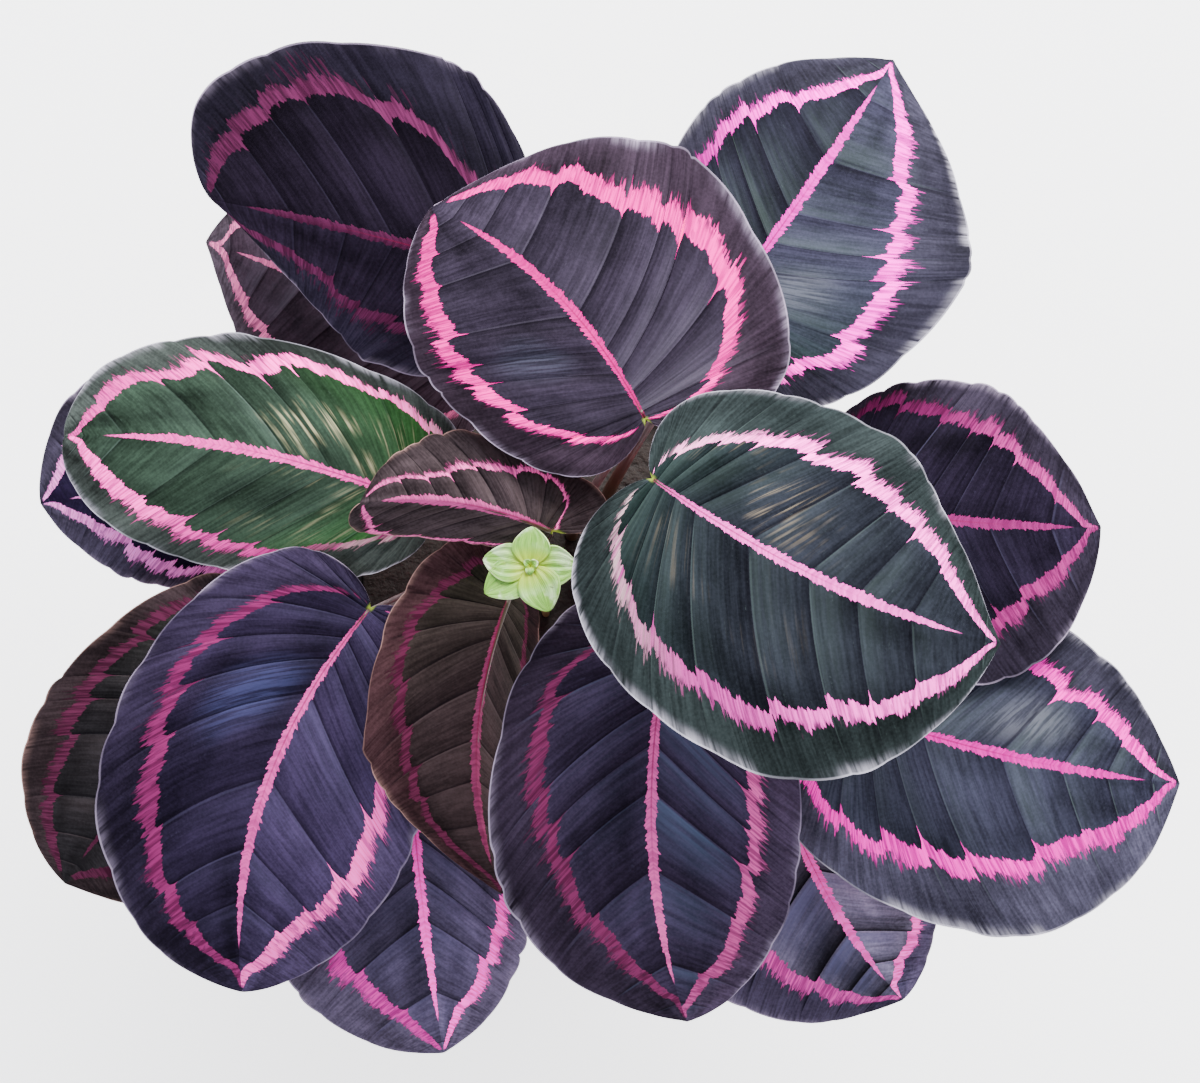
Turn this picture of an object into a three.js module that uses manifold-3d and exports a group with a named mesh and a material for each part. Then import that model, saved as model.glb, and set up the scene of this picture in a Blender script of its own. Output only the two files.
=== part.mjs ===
// A potted prayer plant with sixteen broad painted leaves round one pale flower spike.
// Millimetres, +Z up. The origin is the middle of the pot's flat underside.
import * as THREE from "three";
import Module from "manifold-3d";
import { mergeVertices } from "three/addons/utils/BufferGeometryUtils.js";

const wasm = await Module();
wasm.setup();

// Pot: a plain straight-sided growing pot with a rolled rim and drain holes round its floor.
const POT_HEIGHT = 130;
const POT_RIM_RADIUS = 95;
const POT_BASE_RADIUS = 70;
const POT_WALL = 2.4;
const RIM_HEIGHT = 14;
const RIM_STEP = 2.6;
const DRAIN_COUNT = 6;
const DRAIN_RADIUS = 2.4;
const DRAIN_RING_RADIUS = 52;
const POT_FLOOR = 3;

// Soil: it fills the pot to a little under the rim and is heaped slightly round the stems.
const SOIL_TOP = 116;
const SOIL_HEAP = 4;
const CONTACT_GAP = 0.4;
const STEM_DEPTH = 14;
const STEM_CLEARANCE = 2.8;

// Leaf blades: a grid of stations along the blade and steps from midrib to margin.
const BLADE_THICKNESS = 1.1;
const VEIN_STEPS = 20;
const WIDTH_STEPS = 4;
const VEIN_LAG = 1.45;
const LOBE_SHARPNESS = 0.7;
const PLEAT_DEPTH = 0.5;
const SCALLOP_DEPTH = 0.7;

// Leaf stalks: round, thick where they sheathe each other, swollen under the blade.
const STALK_FOOT_RADIUS = 3.6;
const STALK_RADIUS = 1.9;
const STALK_KNEE_RADIUS = 2.3;
const KNEE_GAP = 0.75;
const STALK_SIDES = 8;
const STALK_STEPS = 12;

// Flower spike: five broad pale bracts in a rosette on one slim stalk. Each bract has its
// direction in degrees and its length.
const FLOWER_CENTRE = [-5, -22, 303];
const FLOWER_ROOT = [-100, 24];
const FLOWER_STALK_RADIUS = 1.7;
const BRACTS = [[91, 15.5], [5, 18], [-64, 18.5], [-152, 20], [163, 18.5]];
const BRACT_SPREAD = 42;
const BRACT_NOTCH = 0.62;

// Dry husk: it stands beside the flower stalk.
const HUSK_ROOT = [-62, 27];
const HUSK_TOP = [6, -45, 262];
const HUSK_HOLE_RADIUS = 1.7;

const COLOURS = {
  purple: 0x2b2536,
  brown: 0x3a2a2e,
  green: 0x2c4a34,
  stalk: 0x5a1c2c,
  bract: 0xb9dd8c,
  husk: 0x8a6a4c,
  soil: 0x2e221b,
  pot: 0x2a2a2c,
};

// Each leaf: where its stalk stands in the soil (degrees round the clump, mm out from its
// middle), where the blade starts and ends, how far the midrib arches up and sways left,
// and the turn of the whole blade about its midrib (degrees, left side up). Each half has its
// width, how far its lobe reaches behind the base (back) and past the tip (fore) as parts of
// the blade length, its tilt (degrees, up) and how far its margin curls down.
const LEAVES = [
  {
    name: "leaf_01", hue: "purple", root: [92, 30], base: [6, 89, 285], tip: [-136, 133, 250],
    arch: 10, sway: 0, roll: 0, wave: 2.0, phase: 0.2,
    left: { width: 52, back: 0.1, fore: -0.2, tilt: -32, curl: 4 },
    right: { width: 78, back: -0.1, fore: 0.26, tilt: 0, curl: 6 },
  },
  {
    name: "leaf_02", hue: "purple", root: [122, 34], base: [-24, 71, 225], tip: [-146, 127, 200],
    arch: 6, sway: -2, roll: 0, wave: 1.5, phase: 1.0,
    left: { width: 56, back: 0.12, fore: -0.12, tilt: -6, curl: 6 },
    right: { width: 52, back: 0.12, fore: 0, tilt: 0, curl: 6 },
  },
  {
    name: "leaf_03", hue: "purple", root: [58, 14], base: [37, 35, 308], tip: [-45, 121, 287],
    arch: 7, sway: -9, roll: 0, wave: 1.6, phase: 2.2,
    left: { width: 58, back: 0.16, fore: 0.02, tilt: 2, curl: 5 },
    right: { width: 75, back: 0.23, fore: -0.11, tilt: 2, curl: 6 },
  },
  {
    name: "leaf_04", hue: "purple", root: [50, 34], base: [65, 80, 280], tip: [137, 187, 262],
    arch: 8, sway: -2, roll: 0, wave: 1.5, phase: 0.8,
    left: { width: 53, back: 0.1, fore: -0.07, tilt: 0, curl: 6 },
    right: { width: 71, back: 0.2, fore: -0.12, tilt: 0, curl: 5 },
  },
  {
    name: "leaf_05", hue: "purple", root: [4, 34], base: [110, 8, 262], tip: [221, 2, 237],
    arch: 7, sway: -3, roll: 0, wave: 1.5, phase: 3.0,
    left: { width: 57, back: 0.12, fore: -0.08, tilt: 0, curl: 6 },
    right: { width: 64, back: 0.12, fore: -0.01, tilt: -2, curl: 3 },
  },
  {
    name: "leaf_06", hue: "green", root: [8, 13], base: [39, 9, 335], tip: [169, -49, 305],
    arch: 9, sway: -8, roll: 0, wave: 1.6, phase: 4.0,
    left: { width: 60, back: 0.13, fore: -0.11, tilt: 0, curl: 5 },
    right: { width: 74, back: 0.13, fore: -0.04, tilt: -2, curl: 5 },
  },
  {
    name: "leaf_07", hue: "green", root: [-28, 34], base: [114, -70, 248], tip: [255, -100, 216],
    arch: 9, sway: -5, roll: 0, wave: 2.0, phase: 0.0,
    left: { width: 57, back: 0.12, fore: -0.06, tilt: -3, curl: 4 },
    right: { width: 71, back: 0.17, fore: -0.03, tilt: 0, curl: 5 },
  },
  {
    name: "leaf_08", hue: "purple", root: [-52, 38], base: [90, -95, 220], tip: [145, -189, 187],
    arch: 7, sway: -6, roll: 0, wave: 1.5, phase: 1.4,
    left: { width: 43, back: 0.12, fore: 0, tilt: -2, curl: 5 },
    right: { width: 60, back: 0.12, fore: -0.06, tilt: 0, curl: 5 },
  },
  {
    name: "leaf_09", hue: "purple", root: [-45, 15], base: [47, -42, 293], tip: [54, -193, 242],
    arch: 12, sway: -11, roll: 0, wave: 1.4, phase: 2.6,
    left: { width: 57, back: 0.12, fore: 0, tilt: 0, curl: 5 },
    right: { width: 61, back: 0.11, fore: -0.06, tilt: 0, curl: 5 },
  },
  {
    name: "leaf_10", hue: "purple", root: [-112, 34], base: [-58, -81, 220], tip: [-45, -211, 180],
    arch: 8, sway: -1, roll: 0, wave: 1.5, phase: 5.0,
    left: { width: 43, back: 0.12, fore: -0.04, tilt: 0, curl: 5 },
    right: { width: 65, back: 0.12, fore: 0, tilt: 0, curl: 6 },
  },
  {
    name: "leaf_11", hue: "brown", root: [-118, 14], base: [-15, -29, 275], tip: [-19, -144, 230],
    arch: 9, sway: -11, roll: 0, wave: 1.6, phase: 3.6,
    left: { width: 36, back: 0.08, fore: 0, tilt: -55, curl: 0 },
    right: { width: 44, back: 0.22, fore: -0.17, tilt: 0, curl: 5 },
  },
  {
    name: "leaf_12", hue: "purple", root: [-152, 33], base: [-70, -32, 258], tip: [-125, -184, 208],
    arch: 11, sway: -15.5, roll: 0, wave: 1.4, phase: 0.6,
    left: { width: 62, back: 0.12, fore: 0, tilt: -4, curl: 5 },
    right: { width: 67, back: 0.09, fore: -0.01, tilt: 0, curl: 6 },
  },
  {
    name: "leaf_13", hue: "brown", root: [-176, 34], base: [-111, -49, 236], tip: [-201, -141, 192],
    arch: 8, sway: -3, roll: 0, wave: 1.5, phase: 4.4,
    left: { width: 60, back: 0.1, fore: -0.05, tilt: 0, curl: 6 },
    right: { width: 55, back: 0.18, fore: 0, tilt: 0, curl: 4 },
  },
  {
    name: "leaf_14", hue: "green", root: [172, 14], base: [-46, 7, 256], tip: [-196, 39, 236],
    arch: 8, sway: -8, roll: 0, wave: 2.0, phase: 1.8,
    left: { width: 48, back: 0.05, fore: 0.04, tilt: -8, curl: 5 },
    right: { width: 46, back: 0.13, fore: 0.02, tilt: 0, curl: 4 },
  },
  {
    name: "leaf_15", hue: "purple", root: [156, 34], base: [-89, 26, 222], tip: [-213, 16, 200],
    arch: 7, sway: -1, roll: 0, wave: 1.5, phase: 2.0,
    left: { width: 42, back: 0.1, fore: -0.06, tilt: 0, curl: 5 },
    right: { width: 60, back: 0.1, fore: 0.02, tilt: 0, curl: 5 },
  },
  {
    name: "leaf_16", hue: "brown", root: [140, 13], base: [2, -6, 297], tip: [-71, 5, 293],
    arch: 5, sway: -5, roll: 0, wave: 1.2, phase: 0.9,
    left: { width: 20, back: 0.05, fore: 0.2, tilt: -50, curl: 0 },
    right: { width: 27, back: 0.36, fore: -0.06, tilt: 0, curl: 3 },
  },
];

const vec = (p) => new THREE.Vector3(p[0], p[1], p[2]);
const UP = new THREE.Vector3(0, 0, 1);

function closedGeometry(points, faces) {
  const geometry = new THREE.BufferGeometry();
  geometry.setAttribute("position", new THREE.Float32BufferAttribute(points.flatMap((p) => [p.x, p.y, p.z]), 3));
  geometry.setIndex(faces.flat());
  geometry.computeVertexNormals();
  return geometry;
}

function standard(colour, roughness) {
  return new THREE.MeshStandardMaterial({ color: colour, roughness, metalness: 0, side: THREE.FrontSide });
}

function named(name, geometry, material) {
  const mesh = new THREE.Mesh(geometry, material);
  mesh.name = name;
  return mesh;
}

// The midrib is one cubic curve. The blade's own axes are taken from its chord and its roll.
function leafFrame(leaf) {
  const base = vec(leaf.base);
  const tip = vec(leaf.tip);
  const chord = tip.clone().sub(base);
  const length = chord.length();
  const along = chord.clone().normalize();
  const level = UP.clone().cross(along).normalize();
  const roll = THREE.MathUtils.degToRad(leaf.roll);
  const left = level.clone().applyAxisAngle(along, roll);
  const normal = along.clone().cross(left).normalize();
  const bow = normal.clone().multiplyScalar(leaf.arch * 4 / 3).addScaledVector(left, leaf.sway * 4 / 3);
  const first = base.clone().addScaledVector(chord, 1 / 3).add(bow);
  const second = base.clone().addScaledVector(chord, 2 / 3).add(bow);
  const midrib = new THREE.CubicBezierCurve3(base, first, second, tip);
  return { length, left, normal, midrib };
}

// A half blade's outline: a half circle stretched to the leaf, with lobes past both ends.
function outline(half, t) {
  const turn = Math.PI * t;
  const back = half.back * Math.max(0, Math.sin(2 * turn)) ** LOBE_SHARPNESS;
  const fore = half.fore * Math.max(0, -Math.sin(2 * turn));
  const x = (1 - Math.cos(turn)) / 2 - back + fore;
  const y = half.width * Math.sin(turn) * (1 - 0.5 * Math.pow(t, 14));
  return [x, y];
}

// A lateral vein leaves the midrib at a station m and bends forward to the margin.
function veinPoint(half, t, v) {
  const m = (1 - Math.cos(Math.PI * Math.pow(t, VEIN_LAG))) / 2;
  const [ex, ey] = outline(half, t);
  const cx = m + 0.3 * (ex - m);
  const cy = 0.6 * ey;
  const x = (1 - v) * (1 - v) * m + 2 * v * (1 - v) * cx + v * v * ex;
  const y = 2 * v * (1 - v) * cy + v * v * ey;
  return [x, y];
}

function bladePoint(leaf, frame, side, t, v, ridge) {
  const half = side > 0 ? leaf.left : leaf.right;
  const [x, y] = veinPoint(half, t, v);
  const s = THREE.MathUtils.clamp(x, 0, 1);
  const along = frame.midrib.getTangent(s);
  const normal = along.clone().cross(frame.left).normalize();
  const left = normal.clone().cross(along);
  const tilt = THREE.MathUtils.degToRad(half.tilt);
  const scallop = 1 + (SCALLOP_DEPTH / half.width) * ridge * v * v;
  const across = side * y * Math.cos(tilt) * scallop;
  const curl = half.curl * (y / half.width) ** 2;
  const wave = leaf.wave * v ** 3 * Math.sin(Math.PI * t) * Math.sin(8 * Math.PI * t + leaf.phase + side);
  const pleat = PLEAT_DEPTH * ridge * Math.sin(Math.PI * v) * Math.sin(Math.PI * t);
  const lift = y * Math.sin(tilt) - curl + wave + pleat;
  return frame.midrib.getPoint(s)
    .addScaledVector(along, (x - s) * frame.length)
    .addScaledVector(left, across)
    .addScaledVector(normal, lift);
}

// One blade is one closed sheet: the same grid of points above and below the middle surface.
function bladeGeometry(leaf) {
  const frame = leafFrame(leaf);
  const columns = 2 * WIDTH_STEPS + 1;
  const surface = [];
  for (let i = 1; i < VEIN_STEPS; i += 1) {
    const ridge = i % 2 ? 1 : -1;
    for (let j = -WIDTH_STEPS; j <= WIDTH_STEPS; j += 1) {
      surface.push(bladePoint(leaf, frame, Math.sign(j) || 1, i / VEIN_STEPS, Math.abs(j) / WIDTH_STEPS, ridge));
    }
  }
  const basePole = surface.push(frame.midrib.getPoint(0)) - 1;
  const tipPole = surface.push(frame.midrib.getPoint(1)) - 1;
  const sheet = [];
  for (let j = 0; j < columns - 1; j += 1) {
    sheet.push([basePole, j, j + 1]);
    for (let i = 0; i < VEIN_STEPS - 2; i += 1) {
      const a = i * columns + j;
      const b = a + columns;
      if (j < WIDTH_STEPS) sheet.push([a, b, b + 1], [a, b + 1, a + 1]);
      else sheet.push([a, b, a + 1], [b, b + 1, a + 1]);
    }
    const last = (VEIN_STEPS - 2) * columns + j;
    sheet.push([last, tipPole, last + 1]);
  }
  const rim = [basePole];
  for (let i = 0; i < VEIN_STEPS - 1; i += 1) rim.push(i * columns + columns - 1);
  rim.push(tipPole);
  for (let i = VEIN_STEPS - 2; i >= 0; i -= 1) rim.push(i * columns);
  const count = surface.length;
  const half = BLADE_THICKNESS / 2;
  const points = [
    ...surface.map((p) => p.clone().addScaledVector(frame.normal, half)),
    ...surface.map((p) => p.clone().addScaledVector(frame.normal, -half)),
  ];
  const faces = [];
  for (const [a, b, c] of sheet) {
    faces.push([a, b, c], [a + count, c + count, b + count]);
  }
  rim.forEach((a, k) => {
    const b = rim[(k + 1) % rim.length];
    faces.push([a, b, b + count], [a, b + count, a + count]);
  });
  return closedGeometry(points, faces);
}

// A round rod along a curve, closed with flat ends, whose radius may change on the way.
function rodGeometry(curve, radiusAt, sides, steps) {
  const frames = curve.computeFrenetFrames(steps, false);
  const points = [];
  const faces = [];
  for (let i = 0; i <= steps; i += 1) {
    const centre = curve.getPointAt(i / steps);
    const radius = radiusAt(i / steps);
    for (let k = 0; k < sides; k += 1) {
      const turn = (2 * Math.PI * k) / sides;
      points.push(centre.clone()
        .addScaledVector(frames.normals[i], radius * Math.cos(turn))
        .addScaledVector(frames.binormals[i], radius * Math.sin(turn)));
    }
  }
  for (let i = 0; i < steps; i += 1) {
    for (let k = 0; k < sides; k += 1) {
      const a = i * sides + k;
      const b = i * sides + ((k + 1) % sides);
      faces.push([a, b, b + sides], [a, b + sides, a + sides]);
    }
  }
  const last = steps * sides;
  for (let k = 1; k < sides - 1; k += 1) {
    faces.push([0, k + 1, k], [last, last + k, last + k + 1]);
  }
  return closedGeometry(points, faces);
}

function rootPoint([degrees, radius], z) {
  const turn = THREE.MathUtils.degToRad(degrees);
  return new THREE.Vector3(radius * Math.cos(turn), radius * Math.sin(turn), z);
}

// A leaf stalk stands up out of the soil, leans outward and ends just under the blade's base.
function stalkCurve(leaf) {
  const frame = leafFrame(leaf);
  const steepest = Math.min(0, leaf.left.tilt, leaf.right.tilt);
  const dip = STALK_RADIUS * Math.tan(THREE.MathUtils.degToRad(-steepest));
  const drop = BLADE_THICKNESS / 2 + KNEE_GAP + dip;
  const top = frame.midrib.getPoint(0.02).addScaledVector(frame.normal, -drop);
  const foot = rootPoint(leaf.root, SOIL_TOP - STEM_DEPTH);
  const height = top.z - foot.z;
  const firm = foot.clone().addScaledVector(UP, height * 0.55);
  const knee = top.clone().addScaledVector(frame.normal, -height * 0.35);
  return new THREE.CubicBezierCurve3(foot, firm, knee, top);
}

function stalkRadius(s) {
  const foot = (STALK_FOOT_RADIUS - STALK_RADIUS) * Math.max(0, 1 - s / 0.4);
  const knee = (STALK_KNEE_RADIUS - STALK_RADIUS) * Math.exp(-(((s - 0.93) / 0.05) ** 2));
  return STALK_RADIUS + foot + knee - 0.6 * Math.max(0, (s - 0.96) / 0.04);
}

function flowerCurve() {
  const foot = rootPoint(FLOWER_ROOT, SOIL_TOP - STEM_DEPTH);
  const top = vec(FLOWER_CENTRE).addScaledVector(UP, -CONTACT_GAP);
  const height = top.z - foot.z;
  const firm = foot.clone().addScaledVector(UP, height * 0.5);
  const neck = top.clone().addScaledVector(UP, -height * 0.3);
  return new THREE.CubicBezierCurve3(foot, firm, neck, top);
}

function toManifold(geometry) {
  const bare = geometry.clone();
  bare.deleteAttribute("normal");
  if (bare.attributes.uv) bare.deleteAttribute("uv");
  const merged = mergeVertices(bare, 1e-4);
  return new wasm.Manifold(new wasm.Mesh({
    numProp: 3,
    vertProperties: new Float32Array(merged.attributes.position.array),
    triVerts: new Uint32Array(merged.index.array),
  }));
}

function fromManifold(solid) {
  const mesh = solid.getMesh();
  const geometry = new THREE.BufferGeometry();
  geometry.setAttribute("position", new THREE.BufferAttribute(mesh.vertProperties, 3));
  geometry.setIndex(new THREE.BufferAttribute(mesh.triVerts, 1));
  geometry.computeVertexNormals();
  return geometry;
}

function lathe(profile, segments) {
  const geometry = new THREE.LatheGeometry(profile.map(([r, z]) => new THREE.Vector2(r, z)), segments);
  return geometry.rotateX(Math.PI / 2);
}

function post(radius, height, sides) {
  return new THREE.CylinderGeometry(radius, radius, height, sides).rotateX(Math.PI / 2);
}

const wallRadius = (z) => POT_BASE_RADIUS + (POT_RIM_RADIUS - RIM_STEP - POT_BASE_RADIUS) * (z / POT_HEIGHT);

function potGeometry() {
  const rimFoot = POT_HEIGHT - RIM_HEIGHT;
  const body = toManifold(lathe([
    [0, 0],
    [POT_BASE_RADIUS, 0],
    [wallRadius(rimFoot), rimFoot],
    [wallRadius(rimFoot) + RIM_STEP, rimFoot + 1.5],
    [POT_RIM_RADIUS, POT_HEIGHT - 1],
    [POT_RIM_RADIUS - 1, POT_HEIGHT],
    [wallRadius(POT_HEIGHT) - POT_WALL, POT_HEIGHT],
    [wallRadius(POT_FLOOR) - POT_WALL, POT_FLOOR],
    [0, POT_FLOOR],
  ], 48));
  let pot = body;
  for (let k = 0; k < DRAIN_COUNT; k += 1) {
    const turn = (2 * Math.PI * (k + 0.5)) / DRAIN_COUNT;
    const drain = post(DRAIN_RADIUS, 12, 12);
    drain.translate(DRAIN_RING_RADIUS * Math.cos(turn), DRAIN_RING_RADIUS * Math.sin(turn), 0);
    pot = pot.subtract(toManifold(drain));
  }
  return fromManifold(pot);
}

function soilGeometry(feet) {
  const floor = POT_FLOOR + CONTACT_GAP;
  const inner = (z) => wallRadius(z) - POT_WALL - CONTACT_GAP;
  let soil = toManifold(lathe([
    [0, floor],
    [inner(floor), floor],
    [inner(SOIL_TOP), SOIL_TOP],
    [inner(SOIL_TOP) * 0.8, SOIL_TOP + SOIL_HEAP * 0.55],
    [inner(SOIL_TOP) * 0.5, SOIL_TOP + SOIL_HEAP],
    [0, SOIL_TOP + SOIL_HEAP],
  ], 36));
  for (const { curve, radius } of feet) {
    const foot = curve.getPoint(0);
    const hole = post(radius + STEM_CLEARANCE, 60, 10);
    hole.translate(foot.x, foot.y, foot.z - CONTACT_GAP + 30);
    soil = soil.subtract(toManifold(hole));
  }
  return fromManifold(soil);
}

// The rosette: overlapping pointed bracts grown together at the middle, one closed sheet.
function rosetteGeometry() {
  const centre = vec(FLOWER_CENTRE);
  const ringSteps = 40;
  const rings = 4;
  const thickness = 1.2;
  const points = [];
  const reach = (turn) => Math.max(...BRACTS.map(([direction, length]) => {
    const off = Math.abs(((THREE.MathUtils.radToDeg(turn) - direction + 540) % 360) - 180);
    return length * (BRACT_NOTCH + (1 - BRACT_NOTCH) * Math.max(0, 1 - off / BRACT_SPREAD) ** 1.1);
  }));
  for (const offset of [thickness, 0]) {
    points.push(centre.clone().addScaledVector(UP, offset));
    for (let r = 1; r <= rings; r += 1) {
      for (let k = 0; k < ringSteps; k += 1) {
        const turn = (2 * Math.PI * k) / ringSteps;
        const radius = reach(turn) * (r / rings);
        const lift = 3.5 * (r / rings) - 2.5 * (r / rings) ** 3;
        points.push(new THREE.Vector3(
          centre.x + radius * Math.cos(turn),
          centre.y + radius * Math.sin(turn),
          centre.z + lift + offset,
        ));
      }
    }
  }
  const side = 1 + rings * ringSteps;
  const faces = [];
  const at = (r, k) => 1 + (r - 1) * ringSteps + (k % ringSteps);
  for (let k = 0; k < ringSteps; k += 1) {
    faces.push([0, at(1, k), at(1, k + 1)], [side, side + at(1, k + 1), side + at(1, k)]);
    for (let r = 1; r < rings; r += 1) {
      const [a, b, c, d] = [at(r, k), at(r, k + 1), at(r + 1, k + 1), at(r + 1, k)];
      faces.push([a, c, b], [a, d, c], [side + a, side + b, side + c], [side + a, side + c, side + d]);
    }
    const [a, b] = [at(rings, k), at(rings, k + 1)];
    faces.push([a, side + b, b], [a, side + a, side + b]);
  }
  return closedGeometry(points, faces);
}

// An old dry sheath: a narrow husk that stands beside the flower stalk.
function huskCurve() {
  const foot = rootPoint(HUSK_ROOT, SOIL_TOP - STEM_DEPTH);
  const top = vec(HUSK_TOP);
  const firm = foot.clone().addScaledVector(UP, 70);
  const neck = top.clone().add(new THREE.Vector3(2, 8, -50));
  return new THREE.CubicBezierCurve3(foot, firm, neck, top);
}

const huskRadius = (s) => 1.6 + 2.6 * Math.sin(Math.PI * Math.min(1, s * 0.95)) - 0.9 * s;

const plant = new THREE.Group();
const feet = [];

for (const leaf of LEAVES) {
  plant.add(named(`${leaf.name}_blade`, bladeGeometry(leaf), standard(COLOURS[leaf.hue], 0.45)));
  const curve = stalkCurve(leaf);
  const stalk = rodGeometry(curve, stalkRadius, STALK_SIDES, STALK_STEPS);
  plant.add(named(`${leaf.name}_stalk`, stalk, standard(COLOURS.stalk, 0.5)));
  feet.push({ curve, radius: STALK_FOOT_RADIUS });
}

plant.add(named("flower_bracts", rosetteGeometry(), standard(COLOURS.bract, 0.55)));
plant.add(named("flower_stalk", rodGeometry(flowerCurve(), () => FLOWER_STALK_RADIUS, STALK_SIDES, 10), standard(COLOURS.bract, 0.6)));
feet.push({ curve: flowerCurve(), radius: FLOWER_STALK_RADIUS });
plant.add(named("dry_husk", rodGeometry(huskCurve(), huskRadius, STALK_SIDES, 10), standard(COLOURS.husk, 0.8)));
feet.push({ curve: huskCurve(), radius: HUSK_HOLE_RADIUS });

plant.add(named("soil", soilGeometry(feet), standard(COLOURS.soil, 0.95)));
plant.add(named("pot", potGeometry(), standard(COLOURS.pot, 0.6)));

export default plant;
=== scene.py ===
import math
import random
import bpy
import numpy as np
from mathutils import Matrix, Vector


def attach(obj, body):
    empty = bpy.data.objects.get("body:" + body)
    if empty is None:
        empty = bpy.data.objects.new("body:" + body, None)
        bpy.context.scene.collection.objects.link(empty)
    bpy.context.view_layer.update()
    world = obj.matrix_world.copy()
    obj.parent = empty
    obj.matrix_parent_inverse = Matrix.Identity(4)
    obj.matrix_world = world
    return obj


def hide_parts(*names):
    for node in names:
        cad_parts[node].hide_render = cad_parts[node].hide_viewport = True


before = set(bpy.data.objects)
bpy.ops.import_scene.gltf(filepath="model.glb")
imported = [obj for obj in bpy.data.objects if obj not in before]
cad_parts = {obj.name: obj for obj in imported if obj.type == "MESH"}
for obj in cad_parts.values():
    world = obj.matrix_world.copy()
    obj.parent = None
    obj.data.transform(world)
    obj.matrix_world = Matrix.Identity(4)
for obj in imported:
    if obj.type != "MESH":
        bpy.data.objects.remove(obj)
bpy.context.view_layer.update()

# ---------------------------------------------------------------- leaf blades
# Sixteen thin living blades of tough leaf tissue, each grown on its own stalk. Every blade is
# pleated along its side veins, carries a feathered pink ring and rib stripe on top, and is
# wine red underneath. It joins its stalk at the swollen knee behind the midrib.

MM = 0.001
BLADE_THICKNESS = 0.6
VEIN_PAIRS = 12
VEIN_WANDER = 0.25
VEIN_LAG = 2.0
VEIN_SWEEP = 0.42
VEIN_SPREAD = 0.55
LOBE_SHARPNESS = 0.7
GROOVE_DEPTH = 0.7
GROOVE_WIDTH = 1.6
PLEAT_SHARPNESS = 0.7
TIP_TAPER = 14
STATIONS = 120
STEPS_ACROSS = 56
WELD_DISTANCE = 1e-5
RING_HALF_WIDTH = 0.047
LEAF_ROUGHNESS = 0.5
LEAF_IOR = 1.06
CREASE_SHADE = (9, 6, 12)
DRY_MARK = (226, 206, 196)
KNEE_GREEN = (132, 150, 52)
WINE_DEEP = (70, 16, 38)
WINE_PALE = (112, 34, 62)
WINE_VEIN = (140, 60, 80)
WINE_RIB = (150, 70, 70)


def paint(colour, strength=1.0):
    """A colour as a paint chart gives it, turned into linear light and made deeper or paler."""
    def linear(level):
        level = level / 255
        level = level / 12.92 if level <= 0.04045 else ((level + 0.055) / 1.055) ** 2.4
        return min(1.0, level * strength)
    red, green, blue = colour
    return (linear(red), linear(green), linear(blue), 1.0)


class Wire:
    """One output of a finish's nodes. Arithmetic on it adds Math nodes to the finish."""

    def __init__(self, tree, socket):
        self.tree = tree
        self.socket = socket

    def node(self, kind, settings=None, values=None, output=0):
        made = self.tree.nodes.new(kind)
        for name, value in (settings or {}).items():
            if name == "curve":
                line = made.mapping.curves[0]
                while len(line.points) < len(value):
                    line.points.new(0.5, 0.5)
                for point, place in zip(line.points, value):
                    point.location = place
                made.mapping.update()
            else:
                setattr(made, name, value)
        for name, value in (values or {}).items():
            if isinstance(value, Wire):
                self.tree.links.new(value.socket, made.inputs[name])
            else:
                made.inputs[name].default_value = value
        return Wire(self.tree, made.outputs[output])

    def maths(self, operation, *operands):
        """A Math node on these operands, or on this wire alone where none are given."""
        values = dict(enumerate(operands or (self,)))
        return self.node("ShaderNodeMath", {"operation": operation}, values)

    def __add__(self, other):
        return self.maths("ADD", self, other)

    def __radd__(self, other):
        return self.maths("ADD", other, self)

    def __sub__(self, other):
        return self.maths("SUBTRACT", self, other)

    def __rsub__(self, other):
        return self.maths("SUBTRACT", other, self)

    def __mul__(self, other):
        return self.maths("MULTIPLY", self, other)

    def __rmul__(self, other):
        return self.maths("MULTIPLY", other, self)

    def __truediv__(self, other):
        return self.maths("DIVIDE", self, other)

    def __pow__(self, other):
        return self.maths("POWER", self, other)

    def clamp(self):
        return self.node("ShaderNodeClamp", None, {0: self})

    def step(self, low, high):
        """0 under low, 1 over high, with a smooth turn between."""
        settings = {"interpolation_type": "SMOOTHSTEP"}
        return self.node("ShaderNodeMapRange", settings, {0: self, 1: low, 2: high})

    def blend(self, first, second):
        """The first colour where this wire is 0, the second where it is 1."""
        return self.node("ShaderNodeMix", {"data_type": "RGBA"}, {0: self, 6: first, 7: second}, 2)


def new_finish(name):
    """An empty finish with its Principled shader, which is given back with a first wire."""
    finish = bpy.data.materials.new(name)
    finish.use_nodes = True
    tree = finish.node_tree
    shader = tree.nodes["Principled BSDF"]
    places = tree.nodes.new("ShaderNodeTexCoord")
    return finish, shader, Wire(tree, places.outputs["Object"]), Wire(tree, places.outputs["UV"])


def join(wire, shader, socket):
    wire.tree.links.new(wire.socket, shader.inputs[socket])


def noise(where, scale, detail=3.0):
    return where.node("ShaderNodeTexNoise", None, {"Vector": where, "Scale": scale, "Detail": detail})


def speckle(wires, along, across, seed, detail=2.0):
    """Noise drawn out along the side veins, from the two numbers of a piece's own map."""
    u, v = wires
    where = u.node("ShaderNodeCombineXYZ", None, {0: u * along, 1: v * across, 2: seed})
    return noise(where, 1.0, detail)


def scaled(colour, gain):
    """A colour made deeper or paler by a wire."""
    colour = colour if isinstance(colour, Wire) else colour[:3]
    return gain.node("ShaderNodeVectorMath", {"operation": "SCALE"}, {0: colour, 3: gain})


def raised(height, strength, distance):
    """A bump that lifts the surface where the height wire is high."""
    values = {"Strength": strength, "Distance": distance, "Height": height}
    return height.node("ShaderNodeBump", None, values)


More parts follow.
